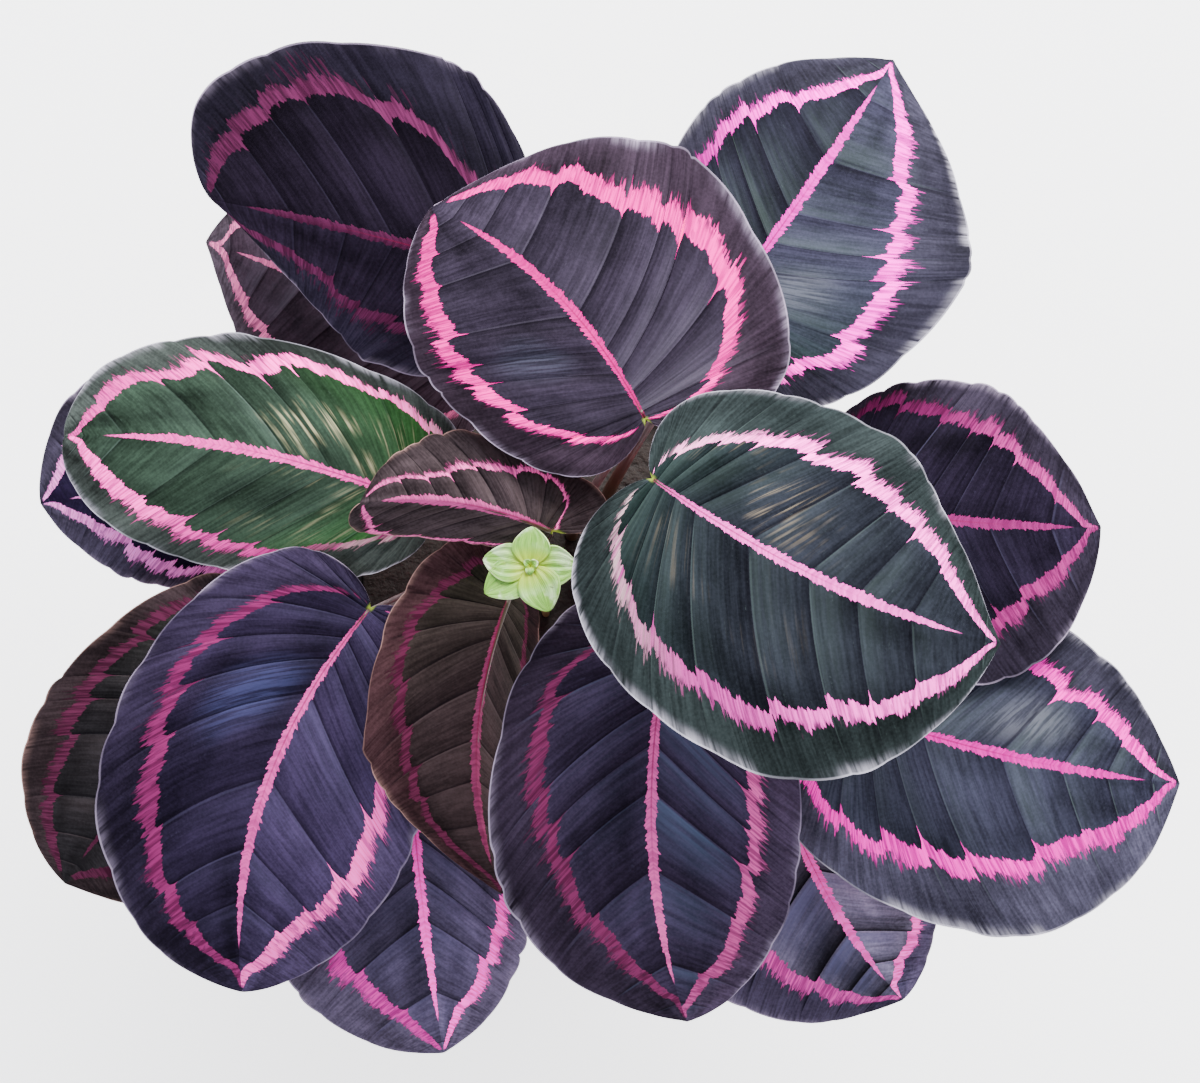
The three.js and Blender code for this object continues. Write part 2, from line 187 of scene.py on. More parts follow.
def split(chart):
    """The two numbers of a piece's own map."""
    first = chart.node("ShaderNodeSeparateXYZ", None, {0: chart})
    return first, Wire(first.tree, first.socket.node.outputs[1])


def chance(line, left, seed):
    """A random number from 0 to 1 for each whole number on a line, its own on each half."""
    corner = line.node("ShaderNodeCombineXYZ", None, {0: line, 1: left * 7 + 0.5, 2: seed})
    return corner.node("ShaderNodeTexWhiteNoise", None, {"Vector": corner})


def teeth(u, left, warp, count, seed):
    """A comb of strokes of random length along the side veins, each drawn to a point."""
    line = u * count + warp * 2.2
    point = 1 - (line.maths("FRACT") * 2 - 1).maths("ABSOLUTE")
    return chance(line.maths("FLOOR"), left, seed) * (point * 0.6 + 0.5)


def fringe(u, left, warp, fine, coarse, seed):
    """Fine and coarse teeth together, which feather an edge."""
    return teeth(u, left, warp, fine, seed) * 0.6 + teeth(u, left, warp, coarse, seed + 1) * 0.4


def blade_finish(leaf):
    """The painted upper face of one leaf. Along it u goes from base to tip and across it v goes
    from midrib to margin, both from 0 to 1, so a pattern's numbers are parts of the blade."""
    finish, shader, place, chart = new_finish(leaf["name"] + "_upper")
    u, width = split(chart)
    side = width * 2 - 1
    v = side.maths("ABSOLUTE")
    left = side.maths("GREATER_THAN", side, 0.0)
    signed = (u, side)
    seed = leaf["seed"]
    cell = u * VEIN_PAIRS + (u * 19 + seed).maths("SINE") * VEIN_WANDER
    whole = cell.maths("FLOOR")
    part = cell.maths("FRACT")
    arch = (part * math.pi).maths("SINE")
    height = (u * math.pi).maths("SINE") * (v * (1 - v) * 2 * VEIN_SPREAD + v * v)
    off_rib = height * (leaf["left"][0] * left + leaf["right"][0] * (1 - left))
    streak = speckle(signed, 90, 1.2, seed + 8, 3.0)
    cloud = speckle(signed, 5, 2.2, seed + 9, 3.0)
    fine = speckle(signed, 420, 9, seed + 10, 2.0)
    threads = speckle(signed, 190, 4.0, seed + 16, 3.0)
    grain = noise(place, 900.0)

    def halves(values):
        """The first value on the left half of the blade, the second on the right."""
        return left * (values[0] - values[1]) + values[1]

    # The ring is a row of slanted patches, one to each pleat. Its inner edge is combed and runs
    # to a spike at each vein, and its outer edge bulges and thins out into dry strokes.
    ring_left = u.node("ShaderNodeFloatCurve", {"curve": leaf["ring_left"]}, {1: u})
    ring_right = u.node("ShaderNodeFloatCurve", {"curve": leaf["ring_right"]}, {1: u})
    ring = ring_right + (ring_left - ring_right) * left
    fade = (1 - u).step(0.02, 0.25)
    warp = speckle(signed, 30, 5.0, seed, 1.0)
    drift = speckle(signed, 24, 1.0, seed + 1, 1.0) - 0.5
    shift = ((part - 0.5) * leaf["slant"] + (chance(whole, left, seed) - 0.5) * 0.03) * fade
    centre = ring + shift + drift * 0.05 * fade
    half = (chance(whole, left, seed + 1) * 0.3 + 0.85) * (u.step(0.7, 0.95) * 1.7 + 1)
    half = half * leaf["ring_width"] * RING_HALF_WIDTH
    ragged_in = fringe(u, left, warp, 210, 95, seed + 2)
    ragged_out = fringe(u, left, warp, 200, 80, seed + 4)
    spike = (1 - arch) ** 8 * chance(whole + part.maths("ROUND"), left, seed + 6) * leaf["spike"]
    inner = centre - half - spike * fade - (ragged_in - 0.4) * leaf["comb"]
    outer = centre + half * 0.8 + arch * leaf["lobe"] * fade
    outer = outer + (ragged_out - 0.4) * leaf["comb"] * 1.6
    strokes = speckle(signed, 300, 6.0, seed + 7, 1.0)
    beyond = (v - outer) / leaf["reach"]
    thin = (v - centre) / half
    body = (v - inner).step(-0.002, 0.005) * (outer - v).step(-0.003, 0.006)
    body = body * (1 - strokes.step(0.52, 0.57) * thin.step(0.2, 1.3) * 0.8)
    slits = speckle(signed, 250, 11.0, seed + 17, 1.0)
    body = body * (1 - slits.step(0.62, 0.68) * 0.35)
    brush = (strokes - beyond * 0.3).step(0.48, 0.54) * (v - outer).step(-0.01, 0.0)
    brush = brush * (1 - beyond.step(0.3, 1.0)) * leaf["dust"] * cloud.step(0.36, 0.55)
    dash = chance((u * 70 + warp * 2).maths("FLOOR"), left, seed + 8).step(0.45, 0.5)
    begun = u.step(leaf["start"], leaf["start"] + 0.07)
    begun = begun + (1 - begun) * dash * leaf["dashes"] * u.step(0.05, 0.07)
    ring_mask = (body + brush).clamp() * begun * (1 - u.step(leaf["end"], leaf["end"] + 0.012))

    # The rib stripe is feathered along the veins and ends before the tip.
    rib = u.node("ShaderNodeFloatCurve", {"curve": RIB_STRIPE}, {1: u}) * 10
    barbs = fringe(u, left, warp, 230, 120, seed + 9)
    stripe = (rib * (barbs * 0.75 + 0.5) - off_rib).step(-0.08, 0.1) * (1 - u.step(0.872, 0.888))
    core = (0.3 - off_rib).step(-0.12, 0.12) * (1 - u.step(0.6, 0.8))

    # Ground: deep cloudy tones, finely grained and drawn out along the veins, with a fine pale vein line
    # where two pleats meet. Painted shade darkens each pleat's valley and lays a dark line beside that
    # vein, and a painted highlight makes one flank of each pleat paler, as light from one side would.
    tone = (streak * 0.6 + cloud * 2.3 + grain * 0.4 - 1.15).clamp()
    ground = tone.blend(paint(leaf["ground"], 0.5), paint(leaf["ground"], 2.0))
    near_base = (1 - u.step(0.2, 0.6)) * leaf["base_tint"] * (streak + cloud * 0.6)
    near_base = near_base * u.step(0.04, 0.14)
    ground = near_base.clamp().blend(ground, paint(leaf["base_colour"]))
    grit = threads.step(0.32, 0.68) * 0.5 + grain.step(0.35, 0.65) * 0.15 + 0.68
    # Painted shade: each pleat darkens across towards the valley where it meets the next.
    valley_shade = part.step(0.3, 1.0) * (1 - v.step(0.45, 0.95)) * leaf["valley_shade"]
    # Each half's gain also carries painted light and shade: one half deeper or paler as light falls on it.
    ground = scaled(ground, halves(leaf["inner_gain"]) * grit * (1 - valley_shade))
    past_ring = (v - ring).step(-0.03, 0.05)
    rim_ground = tone.blend(paint(leaf["outer"], 0.5), paint(leaf["outer"], 2.0))
    rim_ground = scaled(rim_ground, halves(leaf["outer_gain"]) * grit)
    ground = past_ring.blend(ground, rim_ground)
    dabs = speckle(signed, 130, 2.2, seed + 14, 2.0)
    flush = cloud.step(0.46, 0.6) * dabs.step(0.52, 0.68) * (1 - past_ring)
    flush = flush * u.step(0.28, 0.4) * (1 - u.step(0.55, 0.72))
    flush = flush * v.step(0.02, 0.1) * (1 - v.step(0.35, 0.75))
    ground = (flush * halves(leaf["flush"])).clamp().blend(ground, paint(leaf["flush_colour"]))
    # Painted highlight: each pleat is paler on the flank beside its vein and fades across it, as light
    # from one side would make it, stronger on one half of the blade than the other.
    painted_pleat_light = (1 - part) ** 1.6 * part.step(0.0, 0.08) * 1.3 * (1 - v.step(0.25, 0.8))
    painted_pleat_light = painted_pleat_light * (1 - u.step(leaf["pleat_light_end"] - 0.3, leaf["pleat_light_end"]) * 0.85)
    painted_pleat_light = painted_pleat_light * (chance(whole, left, seed + 15) * 0.7 + 0.3) * (streak.step(0.3, 0.6) * 0.6 + 0.4)
    ground = (painted_pleat_light * halves(leaf["pleat_light"])).clamp().blend(ground, paint(leaf["pale"]))
    # Painted reflection: on some leaves a soft streaky patch of pale blue stands in for light off the
    # blade.
    sheen_u, sheen_side, sheen_strength = leaf["sheen"]
    if sheen_strength:
        offset = {0: (u - sheen_u) * 12, 1: (side - sheen_side) * 3.6}
        away = u.node("ShaderNodeCombineXYZ", None, offset)
        away = away.node("ShaderNodeVectorMath", {"operation": "LENGTH"}, {0: away}, 1)
        sheen_patch = (1 - (away + cloud * 0.6).step(0.5, 1.3)) * (threads.step(0.4, 0.6) * 0.75 + 0.25)
        ground = (sheen_patch * sheen_strength).clamp().blend(ground, paint(leaf["sheen_colour"]))
    hairline = part.step(0.0, 0.015) * (1 - part.step(0.025, 0.05)) * v.step(0.02, 0.1)
    hairline = hairline * chance(whole, left, seed + 13) * (1 - v.step(0.6, 0.95))
    ground = (hairline * leaf["vein"]).blend(ground, paint(leaf["pale"]))
    # Painted shade: a dark line lies in the crease where each pleat meets the next.
    crease_shade = part.step(0.9, 1.0) * leaf["crease_shade"] * (1 - v.step(0.8, 1.0))
    ground = crease_shade.blend(ground, paint(CREASE_SHADE))
    specks = fine.step(0.6, 0.85) * grain.step(0.45, 0.6) * leaf["vein"] * 0.5
    ground = specks.blend(ground, paint(leaf["pale"]))

    # Pinks: each stroke has its own strength, and the ring pales from its root to its tip. The
    # strengths near base and tip differ by half, which partly paints light and shade: one half deeper
    # or paler as the light falls on it, besides the ring's own tone.
    shade = speckle(signed, 220, 3.0, seed + 11, 2.0)
    low, high = leaf["pink_gain"][:2], leaf["pink_gain"][2:]
    strength = halves(low) + (halves(high) - halves(low)) * u.step(0.4, 0.85)
    strength = strength * (shade.step(0.36, 0.62) * 0.75 + 0.62)
    pink = paint(leaf["pink"])
    rib_pink = scaled(pink, (shade.step(0.36, 0.62) * 0.4 + 0.75) * leaf["rib_gain"])
    strength = strength * (1 - thin.step(0.4, 1.6) * 0.15 - thin.step(1.3, 2.4) * 0.35)
    ring_pink = scaled(pink, strength)
    bleached = (1 - u.step(leaf["start"] + 0.05, leaf["start"] + 0.3)) * leaf["bleach"]
    bleached = bleached * (cloud * 0.8 + dabs * 0.9).step(0.6, 0.95)
    ring_pink = bleached.clamp().blend(ring_pink, paint(DRY_MARK))
    skin = ring_mask.blend(ground, ring_pink)
    skin = stripe.blend(skin, u.step(0.15, 0.58).blend(paint(leaf["rib_base"]), rib_pink))
    skin = (core * 0.55).blend(skin, paint(leaf["rib_base"]))
    green = (1 - u.step(0.14, 0.26)) * (1 - (off_rib - 0.6).step(0.0, 1.2))
    skin = green.clamp().blend(skin, paint(KNEE_GREEN))
    # Painted highlight: a broken pale band along the margin stands in for light caught on the turned-down
    # edge, stronger on one half than the other. The thin pale line at the very edge is the leaf's own.
    along_rim = speckle((u, left), 7, 3.0, seed + 12, 2.0)
    glow = (v.step(0.9, 1.0) ** 2) * along_rim.step(0.44, 0.58) * halves(leaf["glow"])
    glow = glow * (streak.step(0.35, 0.6) * 0.8 + threads.step(0.35, 0.6) * 0.6)
    skin = glow.clamp().blend(skin, paint(leaf["margin_colour"]))
    edge_line = v.step(0.986, 0.994) * leaf["margin"] * (along_rim.step(0.36, 0.58) * 0.7 + 0.3)
    skin = edge_line.blend(skin, paint(leaf["margin_colour"]))
    join(skin, shader, "Base Color")

    rough = (streak - 0.5) * 0.16 + (grain - 0.5) * 0.2 + ring_mask * 0.08 + LEAF_ROUGHNESS
    join(rough, shader, "Roughness")
    shader.inputs["IOR"].default_value = LEAF_IOR
    relief = fine * 0.3 + streak * 0.3 + grain * 0.35 + arch.step(0.0, 0.2) * 0.6 + ring_mask * 0.05
    join(raised(relief, 0.4, 0.0004), shader, "Normal")
    return finish


def underside_finish():
    """Wine red underside with pale raised veins."""
    finish, shader, _, chart = new_finish("leaf_underside")
    u, width = split(chart)
    side = width * 2 - 1
    v = side.maths("ABSOLUTE")
    arch = ((u * VEIN_PAIRS).maths("FRACT") * math.pi).maths("SINE")
    vein = (1 - arch).step(0.8, 1.0)
    rib = 1 - v.step(0.01, 0.05)
    streak = speckle((u, side), 70, 2.0, 3.0, 3.0)
    skin = streak.blend(paint(WINE_DEEP), paint(WINE_PALE))
    skin = (vein * 0.4).blend(skin, paint(WINE_VEIN))
    skin = (rib * 0.6).blend(skin, paint(WINE_RIB))
    join(skin, shader, "Base Color")
    join(0.5 + (streak - 0.5) * 0.2, shader, "Roughness")
    relief = vein + rib * 1.5 + streak * 0.3
    join(raised(relief, 0.5, 0.0006), shader, "Normal")
    return finish


# A leaf's base and tip are places in mm, and its root is a direction in degrees and a distance
# from the pot's middle. left and right give the outline of each half: width, how far its lobe
# reaches behind the base and past the tip as parts of the length, tilt in degrees and how far
# the margin curls down. A ring's points say how far along and across the half blade it lies, in
# hundredths. Gains are for the left and the right half, and pink's near the base and the tip.
# The rib stripe's half width along the blade is in centimetres.
# Besides each leaf's own tones, its colours and gains carry painted light and shade: a leaf or one
# half is made deeper or paler as the light falls on it.
RIB_STRIPE = [(0.0, 0.05), (0.25, 0.07), (0.42, 0.12), (0.56, 0.2), (0.69, 0.26), (0.79, 0.21),
              (0.85, 0.1), (0.89, 0.0)]
NAVY = dict(pale=(92, 90, 118), inner_gain=(1.0, 1.0), outer_gain=(1.0, 1.0),
            pink_gain=(1.0, 1.0, 1.0, 1.0), base_tint=0.0, base_colour=(30, 56, 34), flush=(0, 0),
            flush_colour=(60, 60, 80), rib_base=(120, 14, 50), margin=0.6, margin_colour=(176, 160, 184),
            glow=(0.22, 0.22), pleat_light=(0.15, 0.15), pleat_light_end=1.0, sheen=(0.5, 0.3, 0.0),
            sheen_colour=(104, 108, 156), vein=0.25, crease_shade=0.5, valley_shade=0.25, bleach=0.0, dashes=0.3,
            start=0.1, end=0.955, lobe=0.03, spike=0.1, slant=0.05, comb=0.048, ring_width=0.95, dust=0.65,
            reach=0.1, pleat=0.75, scallop=0.8)
GREY = dict(NAVY, pale=(116, 110, 124), pleat_light=(0.3, 0.3))
GREEN = dict(NAVY, pale=(96, 112, 106), base_tint=0.5, base_colour=(18, 46, 28), flush=(0.7, 0.2),
             flush_colour=(138, 124, 104), margin_colour=(206, 200, 214), glow=(0.2, 0.5), bleach=0.6,
             dashes=1.0, start=0.2, vein=0.3, crease_shade=0.4, pleat=0.45, scallop=0.6)
BROWN = dict(NAVY, pale=(100, 84, 84), base_tint=0.4, base_colour=(40, 44, 26),
             margin_colour=(180, 140, 130))

LEAVES = [
    dict(NAVY, name="leaf_01", base=(6, 89, 285), tip=(-136, 133, 250), root=(92, 30),
         ground=(25, 19, 30), outer=(27, 23, 34), pink=(80, 30, 60),
         inner_gain=(1.62, 0.62), outer_gain=(1.56, 0.64), pink_gain=(1.0, 1.19, 1.26, 0.67), rib_gain=0.81,
         pleat_light=(0.0, 0.0), glow=(0.3, 0.1), vein=0.06, reach=0.24, dust=1.0,
         arch=10, sway=0, wave=2.0, phase=0.2,
         left=(52, 0.1, -0.2, -32, 4), right=(78, -0.1, 0.26, 0, 6),
         ring_left=[(0, 30), (20, 45), (40, 58), (57, 63), (68, 69), (72, 68), (77, 59), (85, 57), (91, 72),
                    (100, 80)],
         ring_right=[(0, 5), (30, 15), (45, 25), (52, 38), (55, 55), (59, 67), (64, 77), (68, 77), (74, 72),
                     (80, 67), (87, 61), (92, 52), (100, 40)]),
    dict(GREY, name="leaf_02", base=(-24, 71, 225), tip=(-146, 127, 200), root=(122, 34),
         ground=(56, 45, 55), outer=(65, 56, 64), pink=(237, 121, 173),
         rib_gain=0.89,
         pleat_light=(0.4, 0.4),
         arch=6, sway=-2, wave=1.5, phase=1.0,
         left=(56, 0.12, -0.12, -6, 6), right=(52, 0.12, 0, 0, 6),
         ring_left=[(0, 30), (20, 50), (40, 66), (60, 71), (76, 72), (81, 69), (85, 60), (89, 40), (93, 8),
                    (100, 0)],
         ring_right=[(0, 30), (20, 50), (40, 66), (60, 70), (80, 68), (87, 62), (91, 30), (94, 5),
                     (100, 0)]),
    dict(GREY, name="leaf_03", base=(37, 35, 308), tip=(-45, 121, 287), root=(58, 14),
         ground=(38, 32, 43), outer=(38, 29, 38), pink=(255, 0, 160),
         inner_gain=(0.93, 1.08), outer_gain=(0.84, 1.19), pink_gain=(1.0, 1.0, 0.63, 0.81), rib_gain=0.6,
         pleat_light=(0.05, 0.55), pleat_light_end=0.62, valley_shade=0.4, sheen=(0.55, 0.4, 0.3), sheen_colour=(84, 88, 106),
         glow=(0.15, 0.5), pleat=0.9, end=0.935, ring_width=1.1, vein=0.15,
         arch=7, sway=-9, wave=1.6, phase=2.2,
         left=(58, 0.16, 0.02, 2, 5), right=(75, 0.23, -0.11, 2, 6),
         ring_left=[(0, 10), (10, 20), (20, 32), (33, 54), (40, 67), (47, 74), (60, 78), (70, 78), (80, 76),
                    (86, 69), (91, 49), (96, 30), (100, 20)],
         ring_right=[(0, 0), (10, 4), (19, 12), (26, 31), (33, 50), (40, 65), (46, 75), (52, 69), (60, 68),
                     (70, 64), (78, 70), (86, 68), (92, 54), (100, 40)]),
    dict(GREEN, name="leaf_04", base=(65, 80, 280), tip=(137, 187, 262), root=(50, 34),
         ground=(33, 32, 44), outer=(37, 35, 45), pink=(255, 0, 200),
         inner_gain=(0.59, 1.69), outer_gain=(0.94, 1.06), pink_gain=(0.35, 1.5, 1.5, 1.21), rib_gain=0.8,
         pleat_light=(0.3, 0.3), sheen=(0.48, -0.25, 0.3), sheen_colour=(128, 132, 140), flush=(0, 0), bleach=0.2,
         start=0.1,
         arch=8, sway=-2, wave=1.5, phase=0.8,
         left=(53, 0.1, -0.07, 0, 6), right=(71, 0.2, -0.12, 0, 5),
         ring_left=[(0, 30), (20, 55), (35, 68), (50, 73), (62, 75), (68, 70), (74, 65), (81, 48), (87, 34),
                    (93, 5), (100, 0)],
         ring_right=[(0, 40), (19, 66), (31, 62), (37, 68), (43, 67), (50, 64), (60, 61), (70, 59),
                     (77, 55), (82, 52), (87, 43), (91, 30), (95, 8), (100, 0)]),
    dict(NAVY, name="leaf_05", base=(110, 8, 262), tip=(221, 2, 237), root=(4, 34),
         ground=(24, 19, 31), outer=(33, 28, 38), pink=(124, 34, 90),
         inner_gain=(0.92, 1.09), outer_gain=(0.98, 1.02), pink_gain=(0.44, 1.0, 1.78, 1.27), rib_gain=1.13,
         pleat_light=(0.0, 0.05), pleat=0.4,
         arch=7, sway=-3, wave=1.5, phase=3.0,
         left=(57, 0.12, -0.08, 0, 6), right=(64, 0.12, -0.01, -2, 3),
         ring_left=[(0, 50), (20, 75), (35, 85), (46, 76), (60, 70), (70, 67), (77, 60), (84, 47), (89, 26),
                    (94, 2), (100, 0)],
         ring_right=[(0, 30), (20, 50), (40, 65), (55, 69), (67, 66), (74, 57), (80, 52), (85, 45),
                     (90, 29), (94, 5), (100, 0)]),
    dict(GREEN, name="leaf_06", slot="leaf_green", base=(39, 9, 335), tip=(169, -49, 305), root=(8, 13),
         ground=(31, 33, 40), outer=(33, 39, 39), pink=(255, 85, 198),
         inner_gain=(1.07, 0.93), outer_gain=(1.01, 0.99), pink_gain=(1.93, 0.35, 1.44, 1.25),
         rib_gain=1.16,
         pleat_light=(0.2, 0.2),
         arch=9, sway=-8, wave=1.6, phase=4.0,
         left=(60, 0.13, -0.11, 0, 5), right=(74, 0.13, -0.04, -2, 5),
         ring_left=[(0, 8), (15, 20), (28, 37), (36, 51), (44, 61), (53, 67), (64, 71), (72, 70), (78, 71),
                    (84, 61), (90, 43), (96, 14), (100, 0)],
         ring_right=[(0, 20), (15, 34), (25, 47), (34, 58), (41, 67), (50, 70), (60, 71), (70, 68),
                     (75, 70), (80, 65), (86, 59), (91, 43), (96, 12), (100, 0)]),
    dict(GREEN, name="leaf_07", slot="leaf_green", base=(114, -70, 248), tip=(255, -100, 216),
         root=(-28, 34),
         ground=(40, 40, 53), outer=(47, 45, 57), pink=(250, 0, 182),
         inner_gain=(1.07, 0.93), outer_gain=(0.55, 1.4), pink_gain=(1.0, 1.0, 1.0, 0.71), rib_gain=0.62,
         pleat_light=(0.3, 0.15), sheen=(0.68, 0.3, 0.35), sheen_colour=(116, 118, 124), bleach=0.0, start=0.1,
         base_tint=0.2, flush=(0, 0),
         arch=9, sway=-5, wave=2.0, phase=0.0,
         left=(57, 0.12, -0.06, -3, 4), right=(71, 0.17, -0.03, 0, 5),
         ring_left=[(0, 30), (20, 50), (40, 63), (55, 66), (63, 66), (69, 61), (75, 63), (79, 59), (84, 50),
                    (89, 31), (95, 12), (100, 0)],
         ring_right=[(0, 55), (12, 66), (22, 65), (28, 60), (37, 66), (45, 65), (52, 63), (60, 64),
                     (69, 61), (75, 56), (82, 53), (89, 40), (95, 10), (100, 0)]),
    dict(NAVY, name="leaf_08", base=(90, -95, 220), tip=(145, -189, 187), root=(-52, 38),
         ground=(110, 102, 121), outer=(69, 61, 81), pink=(255, 85, 191),
         inner_gain=(1.54, 0.65), outer_gain=(1.7, 0.55), pink_gain=(1.0, 1.0, 1.58, 0.63), rib_gain=1.39,
         pleat_light=(0.8, 0.8), pale=(110, 110, 150), crease_shade=0.8, valley_shade=0.85, pleat=1.1,
         arch=7, sway=-6, wave=1.5, phase=1.4,
         left=(43, 0.12, 0, -2, 5), right=(60, 0.12, -0.06, 0, 5),
         ring_left=[(0, 30), (20, 55), (40, 70), (60, 76), (72, 78), (78, 75), (82, 60), (88, 33), (93, 6),
                    (100, 0)],
         ring_right=[(0, 30), (20, 50), (40, 60), (55, 64), (65, 63), (76, 61), (83, 59), (89, 51),
                     (94, 20), (100, 0)]),
    dict(NAVY, name="leaf_09", base=(47, -42, 293), tip=(54, -193, 242), root=(-45, 15),
         ground=(47, 38, 56), outer=(45, 36, 50), pink=(147, 56, 105),
         inner_gain=(1.1, 0.91), outer_gain=(1.55, 0.64), pink_gain=(2.8, 0.42, 1.31, 0.49), rib_gain=2.57,
         pleat_light=(0.7, 0.1), valley_shade=0.4, pale=(84, 98, 124), start=0.15,
         arch=12, sway=-11, wave=1.4, phase=2.6,
         left=(57, 0.12, 0, 0, 5), right=(61, 0.11, -0.06, 0, 5),
         ring_left=[(0, 30), (20, 45), (35, 53), (48, 62), (55, 69), (65, 70), (72, 71), (79, 68), (86, 51),
                    (92, 24), (95, 2), (100, 0)],
         ring_right=[(0, 15), (15, 25), (27, 38), (34, 56), (39, 70), (47, 69), (55, 67), (65, 64),
                     (72, 59), (78, 54), (84, 43), (89, 26), (93, 3), (100, 0)]),
    dict(GREY, name="leaf_10", base=(-58, -81, 220), tip=(-45, -211, 180), root=(-112, 34),
         ground=(71, 63, 84), outer=(77, 68, 87), pink=(255, 68, 189),
         inner_gain=(1.26, 0.8), outer_gain=(1.12, 0.89), pink_gain=(1.0, 1.0, 1.73, 0.58), rib_gain=1.87,
         pleat_light=(0.4, 0.2), valley_shade=0.45, pale=(104, 100, 140),
         arch=8, sway=-1, wave=1.5, phase=5.0,
         left=(43, 0.12, -0.04, 0, 5), right=(65, 0.12, 0, 0, 6),
         ring_left=[(0, 30), (20, 55), (40, 74), (55, 79), (64, 76), (72, 72), (79, 66), (85, 49), (90, 36),
                    (96, 20), (100, 0)],
         ring_right=[(0, 30), (20, 50), (40, 62), (55, 67), (67, 66), (73, 63), (79, 55), (86, 44),
                     (92, 30), (97, 15), (100, 0)]),
    dict(BROWN, name="leaf_11", slot="leaf_brown", base=(-15, -29, 275), tip=(-19, -144, 230),
         root=(-118, 14),
         ground=(43, 33, 34), outer=(39, 24, 26), pink=(80, 29, 52),
         inner_gain=(1.16, 0.87), outer_gain=(0.65, 1.54), pink_gain=(1.0, 0.95, 1.0, 1.05), rib_gain=3.0,
         pleat_light=(0.1, 0.1), base_tint=0.6,
         arch=9, sway=-11, wave=1.6, phase=3.6,
         left=(36, 0.08, 0, -55, 0), right=(44, 0.22, -0.17, 0, 5),
         ring_left=[(0, 30), (20, 50), (40, 62), (60, 65), (80, 60), (88, 40), (94, 5), (100, 0)],
         ring_right=[(0, 50), (10, 60), (18, 63), (27, 58), (35, 68), (41, 75), (47, 71), (57, 65),
                     (66, 67), (74, 71), (80, 70), (87, 50), (94, 10), (100, 0)]),
    dict(NAVY, name="leaf_12", base=(-70, -32, 258), tip=(-125, -184, 208), root=(-152, 33),
         ground=(40, 32, 52), outer=(45, 37, 56), pink=(177, 60, 127),
         inner_gain=(1.44, 0.7), outer_gain=(1.54, 0.65), pink_gain=(2.8, 0.35, 2.21, 0.46), rib_gain=1.62,
         pleat_light=(0.2, 0.12), sheen=(0.54, -0.3, 0.42), sheen_colour=(74, 80, 126), start=0.2, dashes=0.8,
         arch=11, sway=-15.5, wave=1.4, phase=0.6,
         left=(62, 0.12, 0, -4, 5), right=(67, 0.09, -0.01, 0, 6),
         ring_left=[(0, 30), (20, 45), (35, 53), (47, 64), (56, 71), (64, 75), (70, 75), (76, 69), (82, 58),
                    (88, 46), (93, 15), (100, 0)],
         ring_right=[(0, 10), (15, 20), (26, 37), (34, 55), (42, 68), (48, 72), (55, 70), (65, 68),
                     (70, 70), (78, 66), (84, 58), (89, 40), (94, 4), (100, 0)]),
    dict(BROWN, name="leaf_13", slot="leaf_brown", base=(-111, -49, 236), tip=(-201, -141, 192),
         root=(-176, 34),
         ground=(29, 27, 29), outer=(35, 27, 29), pink=(74, 29, 51),
         outer_gain=(0.89, 1.13), pink_gain=(1.0, 0.9, 1.0, 1.11), rib_gain=1.14,
         end=0.93,
         arch=8, sway=-3, wave=1.5, phase=4.4,
         left=(60, 0.1, -0.05, 0, 6), right=(55, 0.18, 0, 0, 4),
         ring_left=[(0, 30), (20, 50), (40, 64), (60, 66), (78, 58), (87, 40), (94, 15), (100, 0)],
         ring_right=[(0, 50), (20, 70), (40, 79), (50, 78), (60, 75), (67, 72), (76, 73), (83, 71),
                     (89, 61), (95, 47), (100, 30)]),
    dict(GREEN, name="leaf_14", slot="leaf_green", base=(-46, 7, 256), tip=(-196, 39, 236), root=(172, 14),
         ground=(38, 51, 41), outer=(48, 53, 50), pink=(218, 57, 151),
         inner_gain=(0.95, 1.05), outer_gain=(0.95, 1.05), pink_gain=(0.35, 2.55, 2.18, 1.04),
         rib_gain=1.45,
         flush=(0.3, 1.0), flush_colour=(186, 178, 138), base_tint=1.1, base_colour=(50, 100, 42),
         glow=(0.3, 0.5),
         arch=8, sway=-8, wave=2.0, phase=1.8,
         left=(48, 0.05, 0.04, -8, 5), right=(46, 0.13, 0.02, 0, 4),
         ring_left=[(0, 10), (15, 20), (27, 34), (36, 48), (45, 68), (51, 78), (58, 80), (66, 77), (75, 74),
                    (81, 66), (88, 51), (94, 15), (100, 0)],
         ring_right=[(0, 30), (15, 55), (27, 72), (38, 79), (47, 80), (53, 81), (58, 71), (65, 80),
                     (71, 69), (76, 78), (81, 74), (86, 61), (91, 42), (95, 10), (100, 0)]),
    dict(NAVY, name="leaf_15", base=(-89, 26, 222), tip=(-213, 16, 200), root=(156, 34),
         ground=(24, 16, 36), outer=(49, 44, 57), pink=(233, 125, 205),
         outer_gain=(1.23, 0.81), rib_gain=1.17,
         pleat_light=(0.2, 0.2),
         arch=7, sway=-1, wave=1.5, phase=2.0,
         left=(42, 0.1, -0.06, 0, 5), right=(60, 0.1, 0.02, 0, 5),
         ring_left=[(0, 50), (20, 70), (35, 82), (51, 85), (63, 81), (73, 69), (81, 57), (88, 38), (94, 10),
                    (100, 0)],
         ring_right=[(0, 30), (20, 50), (40, 64), (60, 69), (76, 68), (84, 62), (89, 48), (96, 25),
                     (100, 0)]),
    dict(BROWN, name="leaf_16", slot="leaf_brown", base=(2, -6, 297), tip=(-71, 5, 293), root=(140, 13),
         ground=(50, 41, 44), outer=(44, 36, 38), pink=(232, 93, 165),
         inner_gain=(1.13, 0.88), pink_gain=(1.0, 1.27, 1.0, 0.79), rib_gain=0.65,
         pleat_light=(0.2, 0.2), end=0.93, ring_width=0.6,
         arch=5, sway=-5, wave=1.2, phase=0.9,
